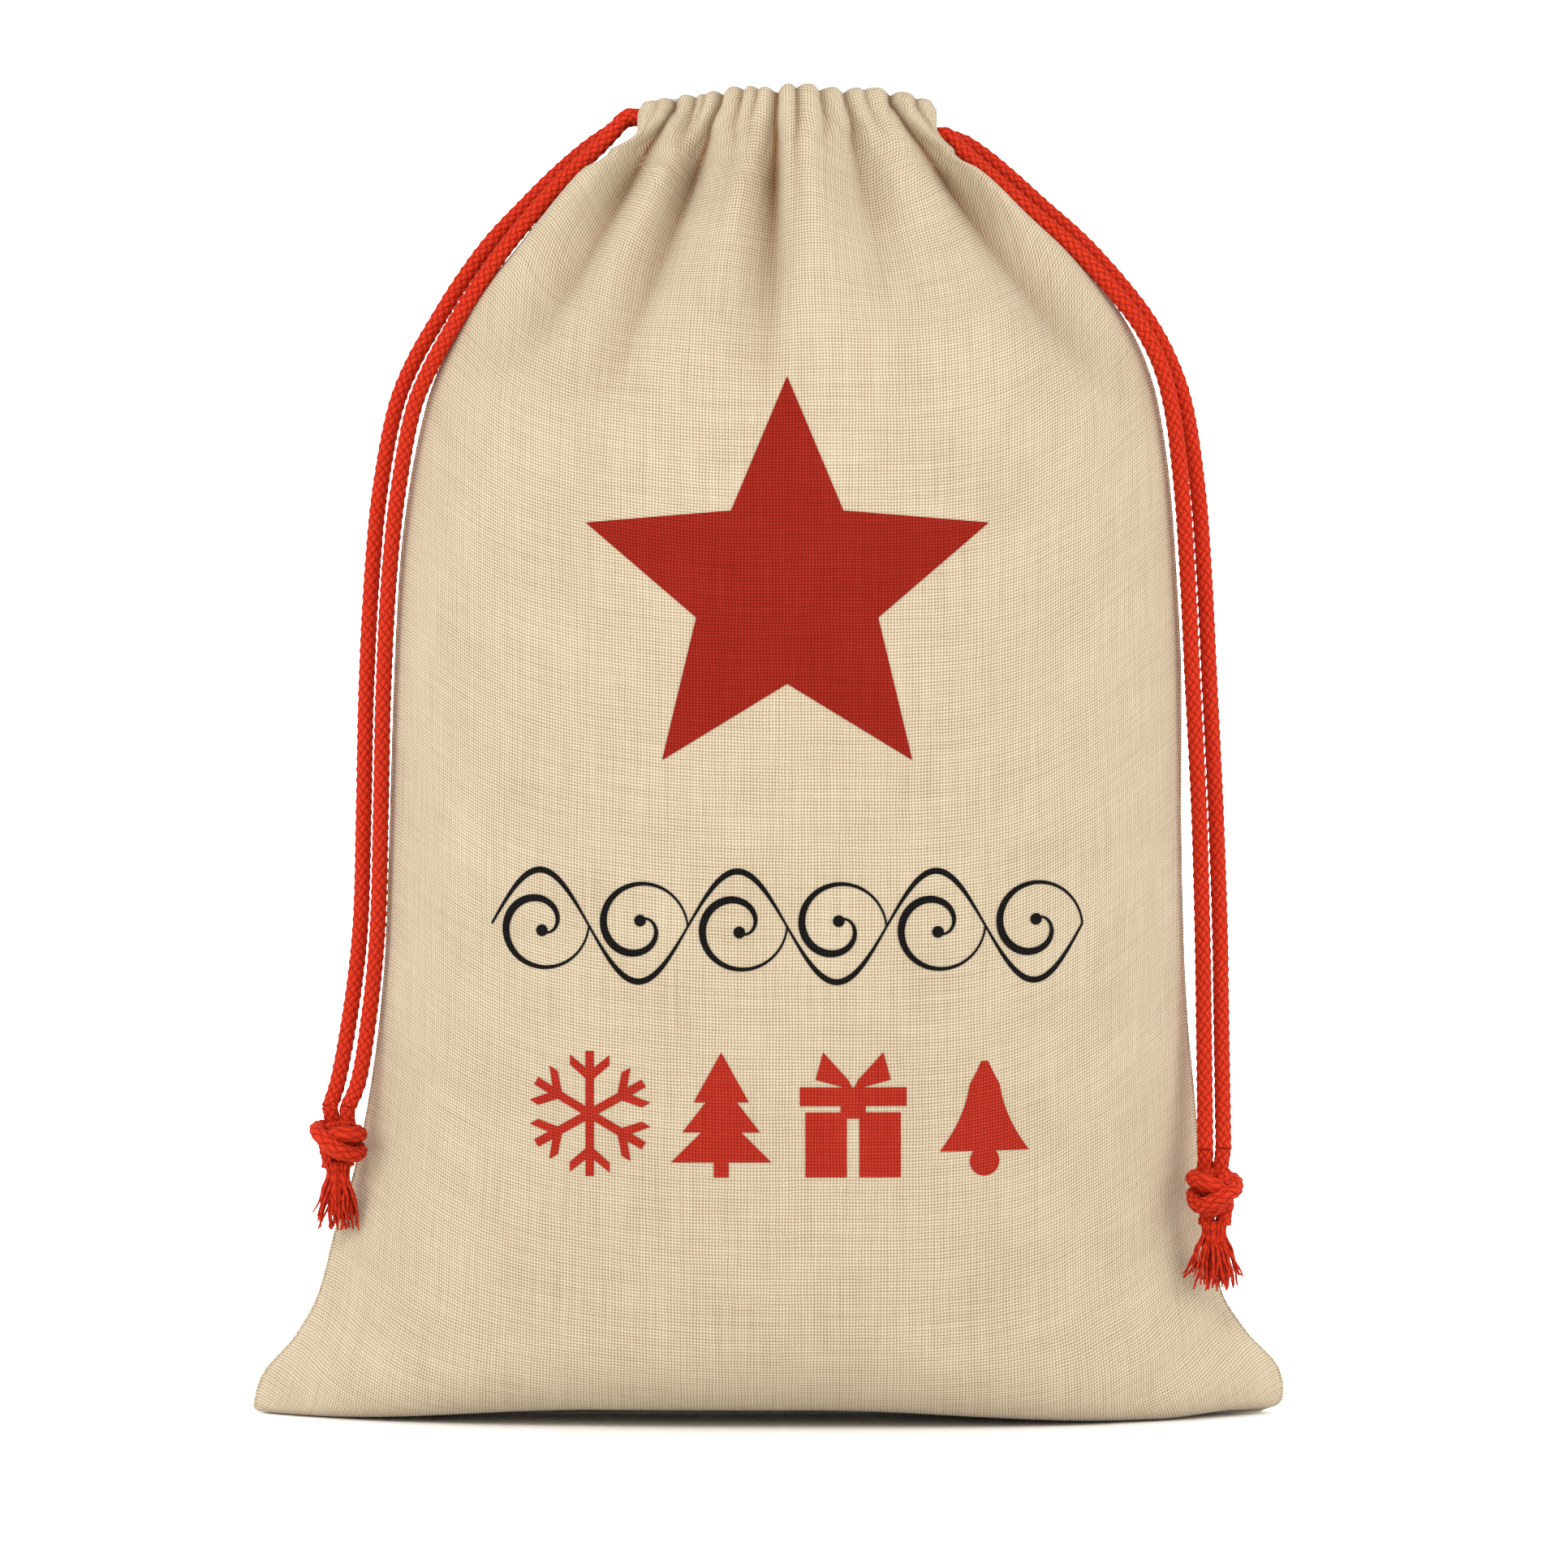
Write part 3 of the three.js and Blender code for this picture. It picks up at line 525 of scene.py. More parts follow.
# Folds that fall from the gathers, in millimetres from the middle of the neck: where each starts, where it
# runs to and how far below the hem's top that is, how deep it is at the neck, and how wide it grows.
front_folds = [
    (-62.5, -76, 30, 2.4, 7), (-53.6, -116, 118, 8.5, 21), (-43.8, -56, 46, 5.5, 9),
    (-39, -48, 30, 4.0, 7), (-30.5, -78, 130, 9.0, 20), (-20.7, -30, 56, 6.5, 10),
    (-13.7, -20, 44, 5.0, 8), (-4.7, -8, 124, 10.5, 17), (4.3, 3, 74, 6.5, 9), (15.3, 19, 50, 7.0, 9),
    (26.6, 44, 84, 8.0, 12), (36.5, 47, 34, 4.0, 7), (49, 134, 126, 9.0, 22), (62, 96, 58, 5.0, 10)]
back_folds = [
    (-60, -98, 70, 5.5, 13), (-50, -66, 42, 5.0, 9), (-41, -88, 128, 9.0, 20), (-31, -40, 46, 5.5, 9),
    (-22, -38, 104, 8.0, 15), (-12, -15, 50, 6.0, 9), (-2, 4, 124, 10.0, 18), (8, 14, 52, 6.5, 10),
    (18, 36, 98, 8.0, 15), (28, 40, 44, 5.0, 9), (39, 92, 130, 9.0, 21), (50, 66, 44, 5.0, 9),
    (60, 104, 84, 6.0, 14)]
fold_top_width = 2.6


def fold_relief(across, below, folds):
    """Depth of the folds in millimetres, and how much painted shade darkens them, across the neck and below
    its top.

    Each fold is a groove, exp(-|offset| ^ sharpness), steep towards the middle of the sack and slack outside:
    a crease at the neck that opens into a soft valley with low banks, and that fades out where it ends.
    """
    relief = np.zeros(np.broadcast(across, below).shape)
    shade = np.zeros_like(relief)
    for start, end, reach, depth, width in folds:
        way = np.clip(below / reach, 0, 2)
        line = start + (end - start) * way ** 1.15
        wide = fold_top_width + (width - fold_top_width) * np.clip(way, 0, 1.4)
        far = smooth_step(reach, 60, 120)
        swell = 1 + 1.35 * smooth_step(way, 0.08, 0.35) * far
        fade = np.clip(1 - way / 1.45, 0, 1) ** 1.3
        outside = (across - line) * np.sign(end + 1e-6) > 0
        off = np.abs(across - line) / wide
        groove = off * np.where(outside, 0.8, 1.7)
        sharp = 1.15 + 0.6 * smooth_step(way, 0.1, 0.8)
        bank = np.exp(-((off - 2.0) / 0.9) ** 2) * smooth_step(way, 0.05, 0.4)
        relief += depth * fade * swell * (np.exp(-groove ** sharp) - 0.25 * bank)
        # Painted shade: each fold darkens the cloth's colour, broadly on its outer side and sharply on its
        # inner side, with a thin dark line along the crease near the neck.
        dark = np.exp(-(off * np.where(outside, 1.15, 3.4)) ** 1.5) * np.clip(1 - way / 1.2, 0, 1) ** 0.8
        crease = 0.6 * np.exp(-((across - line) / 1.1) ** 2) * np.clip(1 - way / 0.6, 0, 1)
        long_fold = smooth_step(way, 0.05, 0.3) * far
        shade += (depth / 8.5) * ((0.38 + 0.55 * long_fold) * dark + crease)
    return relief, np.clip(shade, 0, 1)


def soft_waves(x, z, side):
    """Slow swells of full cloth: a few long sine waves that cross each other."""
    turn = 0.7 if side < 0 else 2.3
    return (1.5 * np.sin(x / 0.052 + 2.1 * np.sin(z / 0.09) + turn) * np.sin(z / 0.071 + turn)
            + 0.9 * np.sin(x / 0.031 - z / 0.047 + 2 * turn) + 0.5 * np.sin(x / 0.024 + z / 0.038)) / 1000


def corner_folds(x, z):
    """Soft diagonal valleys where the flat bottom corners turn into the round body, in metres."""
    relief = np.zeros(np.broadcast(x, z).shape)
    for ax, az, bx, bz, depth, width in ((0.236, 0.052, 0.168, 0.006, 0.0050, 0.010),
                                         (-0.240, 0.030, -0.150, 0.070, 0.0030, 0.016),
                                         (0.215, 0.100, 0.150, 0.060, 0.0022, 0.014)):
        long_x, long_z = bx - ax, bz - az
        size = math.hypot(long_x, long_z)
        run = ((x - ax) * long_x + (z - az) * long_z) / size ** 2
        off = ((x - ax) * long_z - (z - az) * long_x) / size / width
        relief += depth * np.exp(-off ** 2) * np.exp(-((run - 0.5) / 0.45) ** 4)
    return relief


channel_out = 0.0058
pleat_out = 0.0080
pleat_bank = 0.0025
end_drop = 0.0090
slit_height = 0.012
bottom_rise = 0.0100
corner_rise = 0.0035


def hem_drop(u):
    """How far the hem's top edge falls below its highest point: most at the ends, where the cords leave."""
    return end_drop * np.abs(u - 0.05) ** 2.4


def hem_out(u, across, below, folds):
    """How far the hem's outside stands off the cord channel's middle line, and its painted shade there."""
    relief, shade = fold_relief(across * 1000, below * 1000, folds)
    full = smooth_step(1 - np.abs(u), -0.03, 0.10)
    out = np.clip(pleat_out - relief / 1000, 0.0, pleat_out + pleat_bank)
    return channel_out + full * out, shade * full


def wall_place(u, row, side):
    """Where the cloth of one panel lies, for u from -1 to 1 across and row from 0 at the bottom seam to 1."""
    path = np.concatenate([[0], np.cumsum(np.hypot(np.diff(section[:, 0]) * hem_foot,
                                                   np.diff(section[:, 1]) * body_depth))])
    key = row * path[-1]
    share = np.clip(smooth_between(path, section[:, 0], key), 0, 1)
    depth = smooth_between(path, section[:, 1], key)
    tuck = smooth_between(path, section[:, 2], key)
    z = cloth_foot + share * (hem_foot - cloth_foot)
    left, right = half_widths(z)
    s = spread(u) * tuck
    x = neck_x + np.where(s < 0, s * left, s * right)
    rim = 1 - np.abs(u)
    slit = smooth_step(z, hem_foot - slit_height, hem_foot)
    pinch = np.maximum(smooth_step(rim, 0.004, 0.034), slit)
    body = depth * body_depth * np.clip(1 - np.abs(spread(u)) ** 2.6, 0, 1) ** 0.9
    across = x - neck_x
    folds = front_folds if side < 0 else back_folds
    relief, shade = fold_relief(across * 1000, (top_z - z) * 1000, folds)
    relief = relief / 1000
    near = smooth_step(share, 0.84, 1)
    full = smooth_step(rim, 0.0, 0.12)
    top = smooth_step(z, hem_foot - 0.02, hem_foot)
    relief = relief + top * (np.clip(relief, -pleat_bank, pleat_out) - relief)
    calm = full * (soft_waves(x, z, side) * smooth_step(z, 0.01, 0.08) * (1 - near) - corner_folds(x, z))
    hem_full = smooth_step(rim, -0.03, 0.10)
    neck = neck_line(across) + channel_out + pleat_out * hem_full
    reach = full + top * (hem_full - full)
    y = (body + near * (neck - body)) * pinch - reach * relief + calm + 0.0001
    middle = smooth_step(x, -0.22, -0.08) * (1 - smooth_step(x, 0.02, 0.175))
    lift = bottom_rise * middle + corner_rise * smooth_step(x, 0.185, 0.225)
    lift = lift * (1 - smooth_step(z, 0.0, 0.10)) * np.clip(depth / 0.8, 0, 1)
    # The last value is the painted shade of the folds, which darkens the cloth's colour.
    return x, side * y, z + lift, shade * reach


def hem_place(u, turn, side):
    """The folded hem: up the outside, over the top and down the inside, for turn from 0 to 1."""
    folds = front_folds if side < 0 else back_folds
    climb = np.clip(turn / 0.44, 0, 1)
    over = np.clip((turn - 0.44) / 0.12, 0, 1) * math.pi
    fall = np.clip((turn - 0.56) / 0.44, 0, 1)
    flare = np.where(u < 0, left_flare, right_flare)
    across = spread(u) * (neck_half + flare * np.clip(1 - climb / 0.55, 0, 1) ** 1.6)
    round_top = 0.004
    height = top_z - hem_foot - round_top
    out, shade = hem_out(u, across, (1 - climb) * (top_z - hem_foot), folds)
    crest, _ = hem_out(u, across, 0.0 * turn, folds)
    out = out * (1 - 0.35 * smooth_step(climb, 0.55, 1.0)) + 0.0012 * np.sin(math.pi * climb)
    inn = -channel_out - 0.10 * crest
    middle, half = (out + inn) / 2, (out - inn) / 2
    radial = np.where(turn <= 0.44, out, np.where(turn >= 0.56, inn, middle + half * np.cos(over)))
    rise = np.where(turn < 0.5, climb, 1 - fall)
    z = hem_foot + height * rise + round_top * np.sin(over)
    uneven = 0.0007 * np.sin(across / 0.0062 + 1.3 * np.sin(across / 0.017))
    z = z + (0.45 * (crest - 0.0125) + uneven) * rise ** 3 - hem_drop(u) * rise
    slope = (neck_line(across + 1e-4) - neck_line(across - 1e-4)) / 2e-4
    norm = np.hypot(1, slope)
    settle = 0.35 * smooth_step(turn, 0.0, 0.2) * smooth_step(neck_half - np.abs(across), 0.0, 0.02)
    x = neck_x + across - settle * slope / norm * radial
    y = side * (neck_line(across) + radial * (1 + (1 / norm - 1) * settle))
    # The last value is the painted shade of the pleats, which darkens the hem's colour.
    return x, y, z, shade


weave_pitch = 0.00150


def linen_material(name, ink=None, show=0.0, cut_flat=True):
    """Plain weave in the cloth's own flat coordinates: warp and weft take turns on top, with uneven yarns.

    ink is a dye colour that covers the yarns, and show is how much of the linen stays visible under it.
    A piece that has no flat coordinates of its own, as the seam allowances, takes the weave by its place.
    """
    material, n, link, shader = new_material(name)
    if cut_flat:
        uv = n.new("ShaderNodeUVMap")
        uv.uv_map = "flat"
    else:
        place = n.new("ShaderNodeTexCoord")
        uv = n.new("ShaderNodeMapping")
        uv.inputs["Rotation"].default_value = (-math.pi / 2, 0.0, 0.0)
        link.new(place.outputs["Object"], uv.inputs["Vector"])
    wobble = n.new("ShaderNodeTexNoise")
    wobble.inputs["Scale"].default_value = 55.0
    wobble.inputs["Detail"].default_value = 3.0
    link.new(uv.outputs[0], wobble.inputs["Vector"])
    shift = n.new("ShaderNodeVectorMath")
    shift.operation = "MULTIPLY_ADD"
    link.new(wobble.outputs["Color"], shift.inputs[0])
    shift.inputs[1].default_value = (0.0016, 0.0016, 0.0)
    link.new(uv.outputs[0], shift.inputs[2])
    split = n.new("ShaderNodeSeparateXYZ")
    link.new(shift.outputs[0], split.inputs[0])
    a, b = (math_node(n, link, "SINE", math_node(n, link, "MULTIPLY", way, math.pi / weave_pitch))
            for way in split.outputs[:2])
    order = math_node(n, link, "MULTIPLY", math_node(n, link, "MULTIPLY", a, b), 0.5)
    warp = math_node(n, link, "MULTIPLY", math_node(n, link, "ABSOLUTE", a),
                     math_node(n, link, "ADD", 0.5, order))
    weft = math_node(n, link, "MULTIPLY", math_node(n, link, "ABSOLUTE", b),
                     math_node(n, link, "SUBTRACT", 0.5, order))
    height = math_node(n, link, "MAXIMUM", warp, weft)
    yarns = []
    for stretch in ((1 / 0.0016, 1 / 0.05, 1.0), (1 / 0.05, 1 / 0.0016, 1.0)):
        run = n.new("ShaderNodeVectorMath")
        run.operation = "MULTIPLY"
        link.new(uv.outputs[0], run.inputs[0])
        run.inputs[1].default_value = stretch
        slub = n.new("ShaderNodeTexNoise")
        slub.inputs["Scale"].default_value = 1.0
        slub.inputs["Detail"].default_value = 2.0
        link.new(run.outputs[0], slub.inputs["Vector"])
        yarns.append(slub.outputs[0])
    slubs = math_node(n, link, "MULTIPLY", math_node(n, link, "ADD", yarns[0], yarns[1]), 0.5)
    patch = n.new("ShaderNodeTexNoise")
    patch.inputs["Scale"].default_value = 26.0
    patch.inputs["Detail"].default_value = 5.0
    link.new(uv.outputs[0], patch.inputs["Vector"])
    # Random tone from the slubs and patches, plus painted shade: the yarns' colour is darker in the hollows
    # of the weave and lighter on its crowns.
    tone_and_weave_shade = math_node(n, link, "ADD", math_node(n, link, "MULTIPLY", slubs, 0.34),
                     math_node(n, link, "MULTIPLY", patch.outputs[0], 0.12))
    tone_and_weave_shade = math_node(n, link, "ADD", tone_and_weave_shade, math_node(n, link, "MULTIPLY", height, 0.62))
    cloth = colour_ramp(n, link, tone_and_weave_shade, [(0.26, (0.22, 0.148, 0.076)), (0.50, (0.43, 0.342, 0.225)),
                                        (0.74, (0.585, 0.50, 0.372)), (0.95, (0.68, 0.605, 0.485))])
    if ink is None:
        # Painted shade: the plain cloth's colour is multiplied towards warm brown by the shade attribute,
        # darkest in the creases of the folds.
        painted_shade_read = n.new("ShaderNodeAttribute")
        painted_shade_read.attribute_name = "shade"
        painted_shade_mix = n.new("ShaderNodeMix")
        painted_shade_mix.data_type = "RGBA"
        painted_shade_mix.blend_type = "MULTIPLY"
        link.new(painted_shade_read.outputs["Fac"], painted_shade_mix.inputs[0])
        link.new(cloth, painted_shade_mix.inputs[6])
        painted_shade_mix.inputs[7].default_value = (0.36, 0.215, 0.105, 1.0)
        link.new(painted_shade_mix.outputs[2], shader.inputs["Base Color"])
    else:
        # The ink's own colour, with painted shade: darker in the weave's hollows and paler on its crowns.
        dark = tuple(0.55 * c for c in ink)
        pale = tuple(1.25 * c + 0.006 for c in ink)
        ink_and_weave_shade = colour_ramp(n, link, tone_and_weave_shade, [(0.32, dark), (0.66, ink), (0.95, pale)])
        worn = n.new("ShaderNodeMix")
        worn.data_type = "RGBA"
        bare = colour_ramp(n, link, tone_and_weave_shade, [(0.70, (0, 0, 0)), (0.95, (show, show, show))])
        link.new(bare, worn.inputs[0])
        link.new(ink_and_weave_shade, worn.inputs[6])
        link.new(cloth, worn.inputs[7])
        link.new(worn.outputs[2], shader.inputs["Base Color"])
    shader.inputs["Roughness"].default_value = 0.88
    shader.inputs["Specular IOR Level"].default_value = 0.18 if ink is None else 0.06
    shader.inputs["Sheen Weight"].default_value = 0.12 if ink is None else 0.0
    shader.inputs["Sheen Roughness"].default_value = 0.6
    fuzz = n.new("ShaderNodeTexNoise")
    fuzz.inputs["Scale"].default_value = 2600.0
    fuzz.inputs["Detail"].default_value = 2.0
    link.new(uv.outputs[0], fuzz.inputs["Vector"])
    relief = math_node(n, link, "ADD", height, math_node(n, link, "MULTIPLY", fuzz.outputs[0], 0.25))
    relief = math_node(n, link, "ADD", relief, math_node(n, link, "MULTIPLY", slubs, 0.5))
    bump = n.new("ShaderNodeBump")
    bump.inputs["Distance"].default_value = 0.0005
    bump.inputs["Strength"].default_value = 0.55
    link.new(relief, bump.inputs["Height"])
    link.new(bump.outputs[0], shader.inputs["Normal"])
    return material


linen = linen_material("natural_linen")
cloth_grids = {}
u = np.linspace(-1, 1, columns + 1)[None, :]
for panel_name, side in (("front", -1), ("back", 1)):
    row = np.linspace(0, 1, wall_rows + 1)[:, None]
    turn = np.linspace(0, 1, hem_rows + 1)[1:, None]
    wall = np.stack(np.broadcast_arrays(*wall_place(u, row, side)), axis=-1)
    hem = np.stack(np.broadcast_arrays(*hem_place(u, turn, side)), axis=-1)
    points, shade = np.split(np.concatenate([wall, hem]), [3], axis=-1)
    across = np.cumsum(np.linalg.norm(np.diff(points, axis=1), axis=2), axis=1)
    across = np.concatenate([np.zeros((len(points), 1)), across], axis=1)
    down = np.cumsum(np.linalg.norm(np.diff(points, axis=0), axis=2), axis=0)
    down = np.concatenate([np.zeros((1, columns + 1)), down])
    uv = np.stack([across - across[:, columns // 2, None], down], axis=-1)
    cloth_grids[panel_name] = (points, uv)
    cloth = grid_piece(f"cloth_{panel_name}", points, uv, flip=side > 0)
    # The shade attribute carries the painted shade of the folds and pleats to the linen's colour.
    layer = cloth.data.attributes.new("shade", "FLOAT", "POINT")
    layer.data.foreach_set("value", shade.astype(np.float32).ravel())
    cloth.data.materials.append(linen)
    thick = cloth.modifiers.new("thickness", "SOLIDIFY")
    thick.thickness = cloth_thick
    thick.offset = -1.0
    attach(cloth, "sack")
    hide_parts(f"{panel_name}_panel", f"casing_{panel_name}")

# ---------------------------------------------------------------- seams and tacks
# The seam allowances lie inside the sack, and a tack of thread closes each side seam below the neck's slit.
seam_linen = linen_material("seam_linen", cut_flat=False)
for name in ("side_seam_left", "side_seam_right", "bottom_seam"):
    nodes[name].data.materials.clear()
    nodes[name].data.materials.append(seam_linen)


def thread_material():
    """Sewing thread: pale, twisted, a little shiny, with painted shade in light and dark bands along its
    twist.
    """
    material, n, link, shader = new_material("sewing_thread")
    place = n.new("ShaderNodeTexCoord")
    twist_shade = n.new("ShaderNodeTexWave")
    twist_shade.inputs["Scale"].default_value = 900.0
    twist_shade.inputs["Distortion"].default_value = 1.5
    link.new(place.outputs["Object"], twist_shade.inputs["Vector"])
    link.new(colour_ramp(n, link, twist_shade.outputs["Fac"], [(0.0, (0.52, 0.4, 0.25)), (1.0, (0.78, 0.68, 0.5))]),
             shader.inputs["Base Color"])
    shader.inputs["Roughness"].default_value = 0.6
    return material


thread = thread_material()
for name in ("bar_tack_left", "bar_tack_right"):
    nodes[name].data.materials.clear()
    nodes[name].data.materials.append(thread)

# ---------------------------------------------------------------- printed inks
# Water-based textile inks, printed flat on the front panel before it was sewn: they follow its every fold,
# and the weave shows through them. Each is a thin skin just clear of the cloth.
ink_rise = 0.0003
ink_layer = 0.00001


def on_cloth(x, z):
    """Places on the front panel, just proud of it, for points drawn flat; the column and row are worked back.

    The row is read from the panel's middle column by height, and the column by inverting the spread.
    """
    points, uv = cloth_grids["front"]
    points, uv = points[:wall_rows + 1], uv[:wall_rows + 1]
    heights = points[:, columns // 2, 2]
    climb = slice(int(np.argmax(heights > 0.05)), wall_rows + 1)
    row = np.interp(z, heights[climb], np.arange(wall_rows + 1)[climb])
    table = points[np.clip(np.round(row).astype(int), 0, wall_rows)]
    left, right = half_widths(z)
    s = np.where(x < neck_x, (x - neck_x) / left, (x - neck_x) / right)
    places = np.linspace(-1, 1, 2001)
    column = (np.interp(s, spread(places), places) + 1) * columns / 2
    i = np.clip(row.astype(int), 0, wall_rows - 1)
    j = np.clip(column.astype(int), 0, columns - 1)
    fi, fj = (row - i)[..., None], (column - j)[..., None]

    def read(grid):
        """The grid's value between its four nearest points."""
        return ((1 - fi) * ((1 - fj) * grid[i, j] + fj * grid[i, j + 1])
                + fi * ((1 - fj) * grid[i + 1, j] + fj * grid[i + 1, j + 1]))

    place = read(points)
    along_u = points[i, j + 1] - points[i, j]
    along_v = points[i + 1, j] - points[i, j]
    normal = np.cross(along_u, along_v)
    normal /= np.linalg.norm(normal, axis=-1)[..., None]
    return place + ink_rise * normal, read(uv)


def printed(name, node, patches, material):
    """Flat patches, each a grid of (x, z) points, laid on the cloth and joined into one ink skin."""
    pieces = []
    for k, patch in enumerate(patches):
        place, uv = on_cloth(patch[..., 0], patch[..., 1])
        place[..., 1] -= ink_layer * k
        a, b = np.array(patch.shape[:2]) // 2
        facing = np.cross(patch[a, b] - patch[a, b - 1], patch[a, b] - patch[a - 1, b])
        pieces.append(grid_piece(f"{name}_{k}", place, uv, flip=bool(facing < 0)))
    skin = joined(name, pieces)
    skin.data.materials.append(material)
    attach(skin, "sack")
    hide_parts(node)


red_ink = linen_material("red_ink", ink=(0.262, 0.0135, 0.0065), show=0.03)
light_red_ink = linen_material("light_red_ink", ink=(0.37, 0.022, 0.011), show=0.05)
black_ink = linen_material("black_ink", ink=(0.006, 0.0055, 0.005), show=0.03)


def star_patches(middle, outer, inner, grain=0.0035):
    """Ten triangles round the middle, each from the middle to a point of the star and the notch beside it."""
    patches = []
    count = int(outer / grain)
    across = np.linspace(0, 1, count)
    for k in range(10):
        angles = math.pi / 2 + math.pi / 5 * np.array([k, k + 1])
        reach = np.array([outer, inner] if k % 2 == 0 else [inner, outer])
        ends = np.stack([reach * np.cos(angles), reach * np.sin(angles)], axis=-1)
        edge = ends[0] + across[:, None] * (ends[1] - ends[0])
        out = np.linspace(0.0, 1.0, count)[:, None, None]
        patches.append(np.array(middle) + out * edge[None])
    return patches


def stroke_patch(line, half_width):
    """A pen stroke: the line widened both ways, square to its run, by a width that changes along it."""
    run = np.gradient(line, axis=0)
    run /= np.linalg.norm(run, axis=1)[:, None]
    side = np.stack([-run[:, 1], run[:, 0]], axis=-1)
    places = np.array([-1.0, 0.0, 1.0])[None, :, None]
    return line[:, None] + places * (half_width[:, None] * side)[:, None]


def disc_patch(middle, radius):
    """A round dot: rings out from its middle."""
    angle = np.linspace(0, 2 * math.pi, 25)[None, :]
    out = np.linspace(0, radius, 4)[:, None]
    return np.array(middle) + np.stack([out * np.cos(angle), out * np.sin(angle)], axis=-1)


star_middle = (neck_x, 0.399)
star_outer = 0.100
star_inner = 0.045
printed("star_ink", "print_star", star_patches(star_middle, star_outer, star_inner), red_ink)

# The scroll: a wave of three periods, with a curl in each of its six hollows that ends in a dot.
scroll_length = 0.280
scroll_height = 0.052
scroll_cells = 6
scroll_z = 0.240
t = np.linspace(0, 1, 321)
wave = scroll_height / 2 * np.sin(math.pi * scroll_cells * t)
stem = np.stack([neck_x + scroll_length * (t - 0.5), scroll_z + wave], axis=-1)
scroll = [stroke_patch(stem, 0.00055 + 0.0009 * np.abs(np.sin(math.pi * scroll_cells * t)) ** 1.5)]
cell = scroll_length / scroll_cells
t = np.linspace(0, 1, 81)
for k in range(scroll_cells):
    up = 1 if k % 2 == 0 else -1
    middle_x = neck_x - scroll_length / 2 + cell * (k + 0.5)
    reach = 0.5 * cell * (1 - t) ** 0.8 + 0.06 * cell * t
    curl = np.stack([middle_x + reach * np.cos(2.4 * math.pi * t),
                     scroll_z - up * reach * np.sin(2.4 * math.pi * t)], axis=-1)
    scroll.append(stroke_patch(curl, 0.0005 + 0.0013 * np.sin(math.pi * t) ** 2))
    scroll.append(disc_patch(curl[-1], 0.06 * cell))
printed("scroll_ink", "print_scroll", scroll, black_ink)

motif_height = 0.059
motif_foot = 0.122
motif_pitch = 0.062


def slab(corners, rows=8, cols=8):
    """A four-cornered patch, filled in both ways between its corners, which go round from the low left."""
    low_left, low_right, high_right, high_left = (np.array(c, dtype=float) for c in corners)
    a = np.linspace(0, 1, cols)[None, :, None]
    b = np.linspace(0, 1, rows)[:, None, None]
    return (1 - b) * ((1 - a) * low_left + a * low_right) + b * ((1 - a) * high_left + a * high_right)


def moved(patches, x, z):
    """The same patches, carried to another place."""
    return [patch + np.array([x, z]) for patch in patches]


def crystal_patches(radius, width):
    """Six arms with two side branches each, turned round the middle."""
    patches = []
    for k in range(6):
        c, s = math.cos(math.pi * k / 3), math.sin(math.pi * k / 3)
        turn = np.array([[c, s], [-s, c]])
        arm = slab([(-width / 2, 0), (width / 2, 0), (width / 2, radius), (-width / 2, radius)], 12, 3)
        patches.append(arm @ turn)
        for side in (-1, 1):
            branch = slab([(0, 0.5 * radius), (side * 0.32 * radius, 0.78 * radius),
                           (side * 0.32 * radius, 0.94 * radius), (0, 0.68 * radius)], 4, 6)
            patches.append(branch @ turn)
    return patches


def tree_patches(height):
    """Three tiers of boughs, each a triangle, over a short trunk."""
    trunk, trunk_top = 0.06 * height, 0.14 * height
    tiers = [slab([(-trunk, 0), (trunk, 0), (trunk, trunk_top), (-trunk, trunk_top)], 4, 4)]
    for k in range(3):
        base = (0.12 + 0.24 * k) * height
        half = (0.4 - 0.09 * k) * height
        tip = (0, base + 0.4 * height)
        tiers.append(slab([(-half, base), (half, base), tip, tip], 10, 12))
    return tiers


def parcel_patches(height):
    """A box in two halves beside a bare ribbon, its lid, and a bow of two loops."""
    wide, band, lid = 0.38 * height, 0.05 * height, 0.52 * height

    def box(x0, y0, x1, y1):
        """An upright rectangle between two corners."""
        return slab([(x0, y0), (x1, y0), (x1, y1), (x0, y1)])

    patches = [box(-wide, 0, -band, lid), box(band, 0, wide, lid),
               box(-1.12 * wide, lid + band, 1.12 * wide, lid + 4 * band),
               box(-2 * band, lid - band, 2 * band, lid + 2 * band)]
    for side in (-1, 1):
        patches.append(slab([(0, 0.7 * height), (side * 0.3 * height, 0.78 * height),
                             (side * 0.24 * height, height), (side * 0.04 * height, 0.78 * height)], 5, 6))
    return patches


def bell_patches(height):
    """A bell's outline, whose half width grows with a power of the way down, and a round clapper below."""
    way = np.linspace(0, 1, 24)[:, None]
    half = 0.36 * height * (0.3 + 0.7 * way ** 2.2) * np.minimum(1, 0.25 + 3 * way)
    across = np.linspace(-1, 1, 12)[None, :]
    body = np.stack(np.broadcast_arrays(half * across, height * (0.92 - 0.72 * way)), axis=-1)
    return [body, disc_patch((0, 0.12 * height), 0.12 * height)]


arm_width = 0.004
motifs = [("crystal", crystal_patches(motif_height / 2, arm_width), motif_height / 2),
          ("tree", tree_patches(motif_height), 0), ("parcel", parcel_patches(motif_height), 0),
          ("bell", bell_patches(motif_height), 0)]
for k, (motif, patches, rise) in enumerate(motifs):
    patches = moved(patches, neck_x + (k - 1.5) * motif_pitch, motif_foot + rise)
    printed(f"{motif}_ink", f"print_{motif}", patches, light_red_ink)

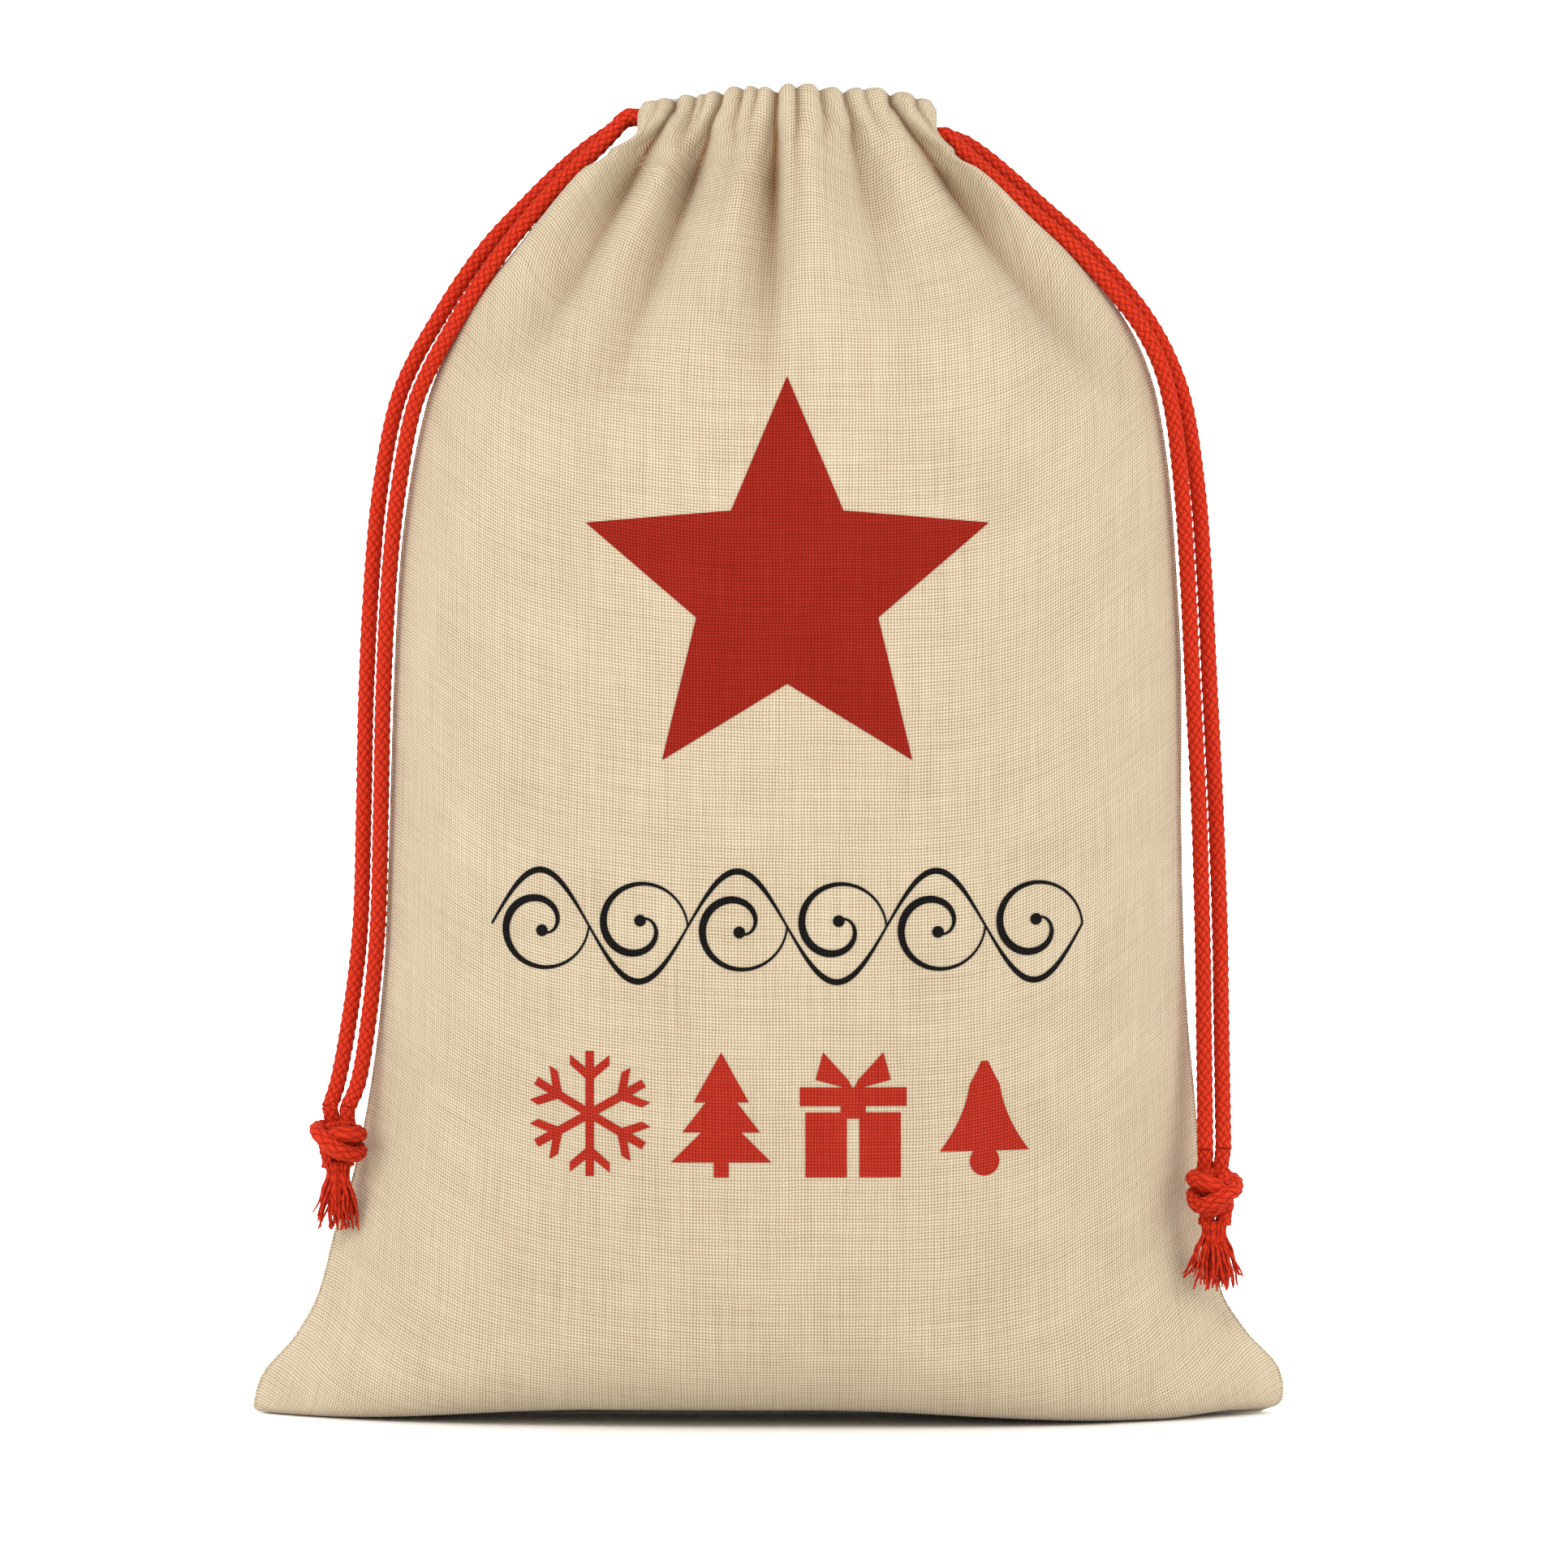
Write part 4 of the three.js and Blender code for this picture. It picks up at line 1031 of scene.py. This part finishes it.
# ---------------------------------------------------------------- floor and light
# A pale sweep that curves up behind the sack, a large soft light in front and above, and a white sky.
sweep_width = 9.0
sweep_rows = 60
sweep_columns = 12
way = np.linspace(0, 1, sweep_rows)
profile = np.stack([np.where(way < 0.5, -4 + 12 * way, 2 + 2.0 * np.sin((way - 0.5) * math.pi)),
                    np.where(way < 0.5, 0.0, 2.0 * (1 - np.cos((way - 0.5) * math.pi)))], axis=-1)
wide = np.linspace(-sweep_width / 2, sweep_width / 2, sweep_columns)
floor_points = np.stack(np.broadcast_arrays(wide[None, :], profile[:, :1], profile[:, 1:]), axis=-1)
floor = grid_piece("floor", floor_points, floor_points[..., :2])
paper, _, _, shader = new_material("white_paper")
shader.inputs["Base Color"].default_value = (0.93, 0.925, 0.915, 1.0)
shader.inputs["Roughness"].default_value = 0.9
shader.inputs["Specular IOR Level"].default_value = 0.1
floor.data.materials.append(paper)


def soft_light(name, place, target, size, power, colour=(1.0, 1.0, 1.0)):
    """A square soft light at place, turned to face target."""
    data = bpy.data.lights.new(name, "AREA")
    data.shape = "SQUARE"
    data.size = size
    data.energy = power
    data.color = colour
    light = bpy.data.objects.new(name, data)
    light.location = place
    reach = np.array(target) - np.array(place)
    light.rotation_euler = (math.acos(-reach[2] / np.linalg.norm(reach)), 0,
                            math.atan2(reach[1], reach[0]) - math.pi / 2)
    bpy.context.collection.objects.link(light)


sack_middle = (0, 0, 0.3)
soft_light("key", (-0.25, -2.5, 2.1), sack_middle, 0.8, 37.0, (1.0, 0.985, 0.965))
soft_light("left", (-2.2, -1.2, 1.2), sack_middle, 1.6, 29.0, (1.0, 0.99, 0.97))
soft_light("right", (2.2, -1.2, 1.2), sack_middle, 1.6, 29.0, (1.0, 0.99, 0.97))
soft_light("backdrop", (0, 1.2, 2.6), (0, 4.2, 0.9), 2.5, 300.0)
world = bpy.data.worlds.new("white_sky")
world.use_nodes = True
sky = world.node_tree.nodes["Background"]
sky.inputs["Color"].default_value = (1.0, 1.0, 1.0, 1.0)
sky.inputs["Strength"].default_value = 0.80
bpy.context.scene.world = world
bpy.context.scene.view_settings.view_transform = "Standard"
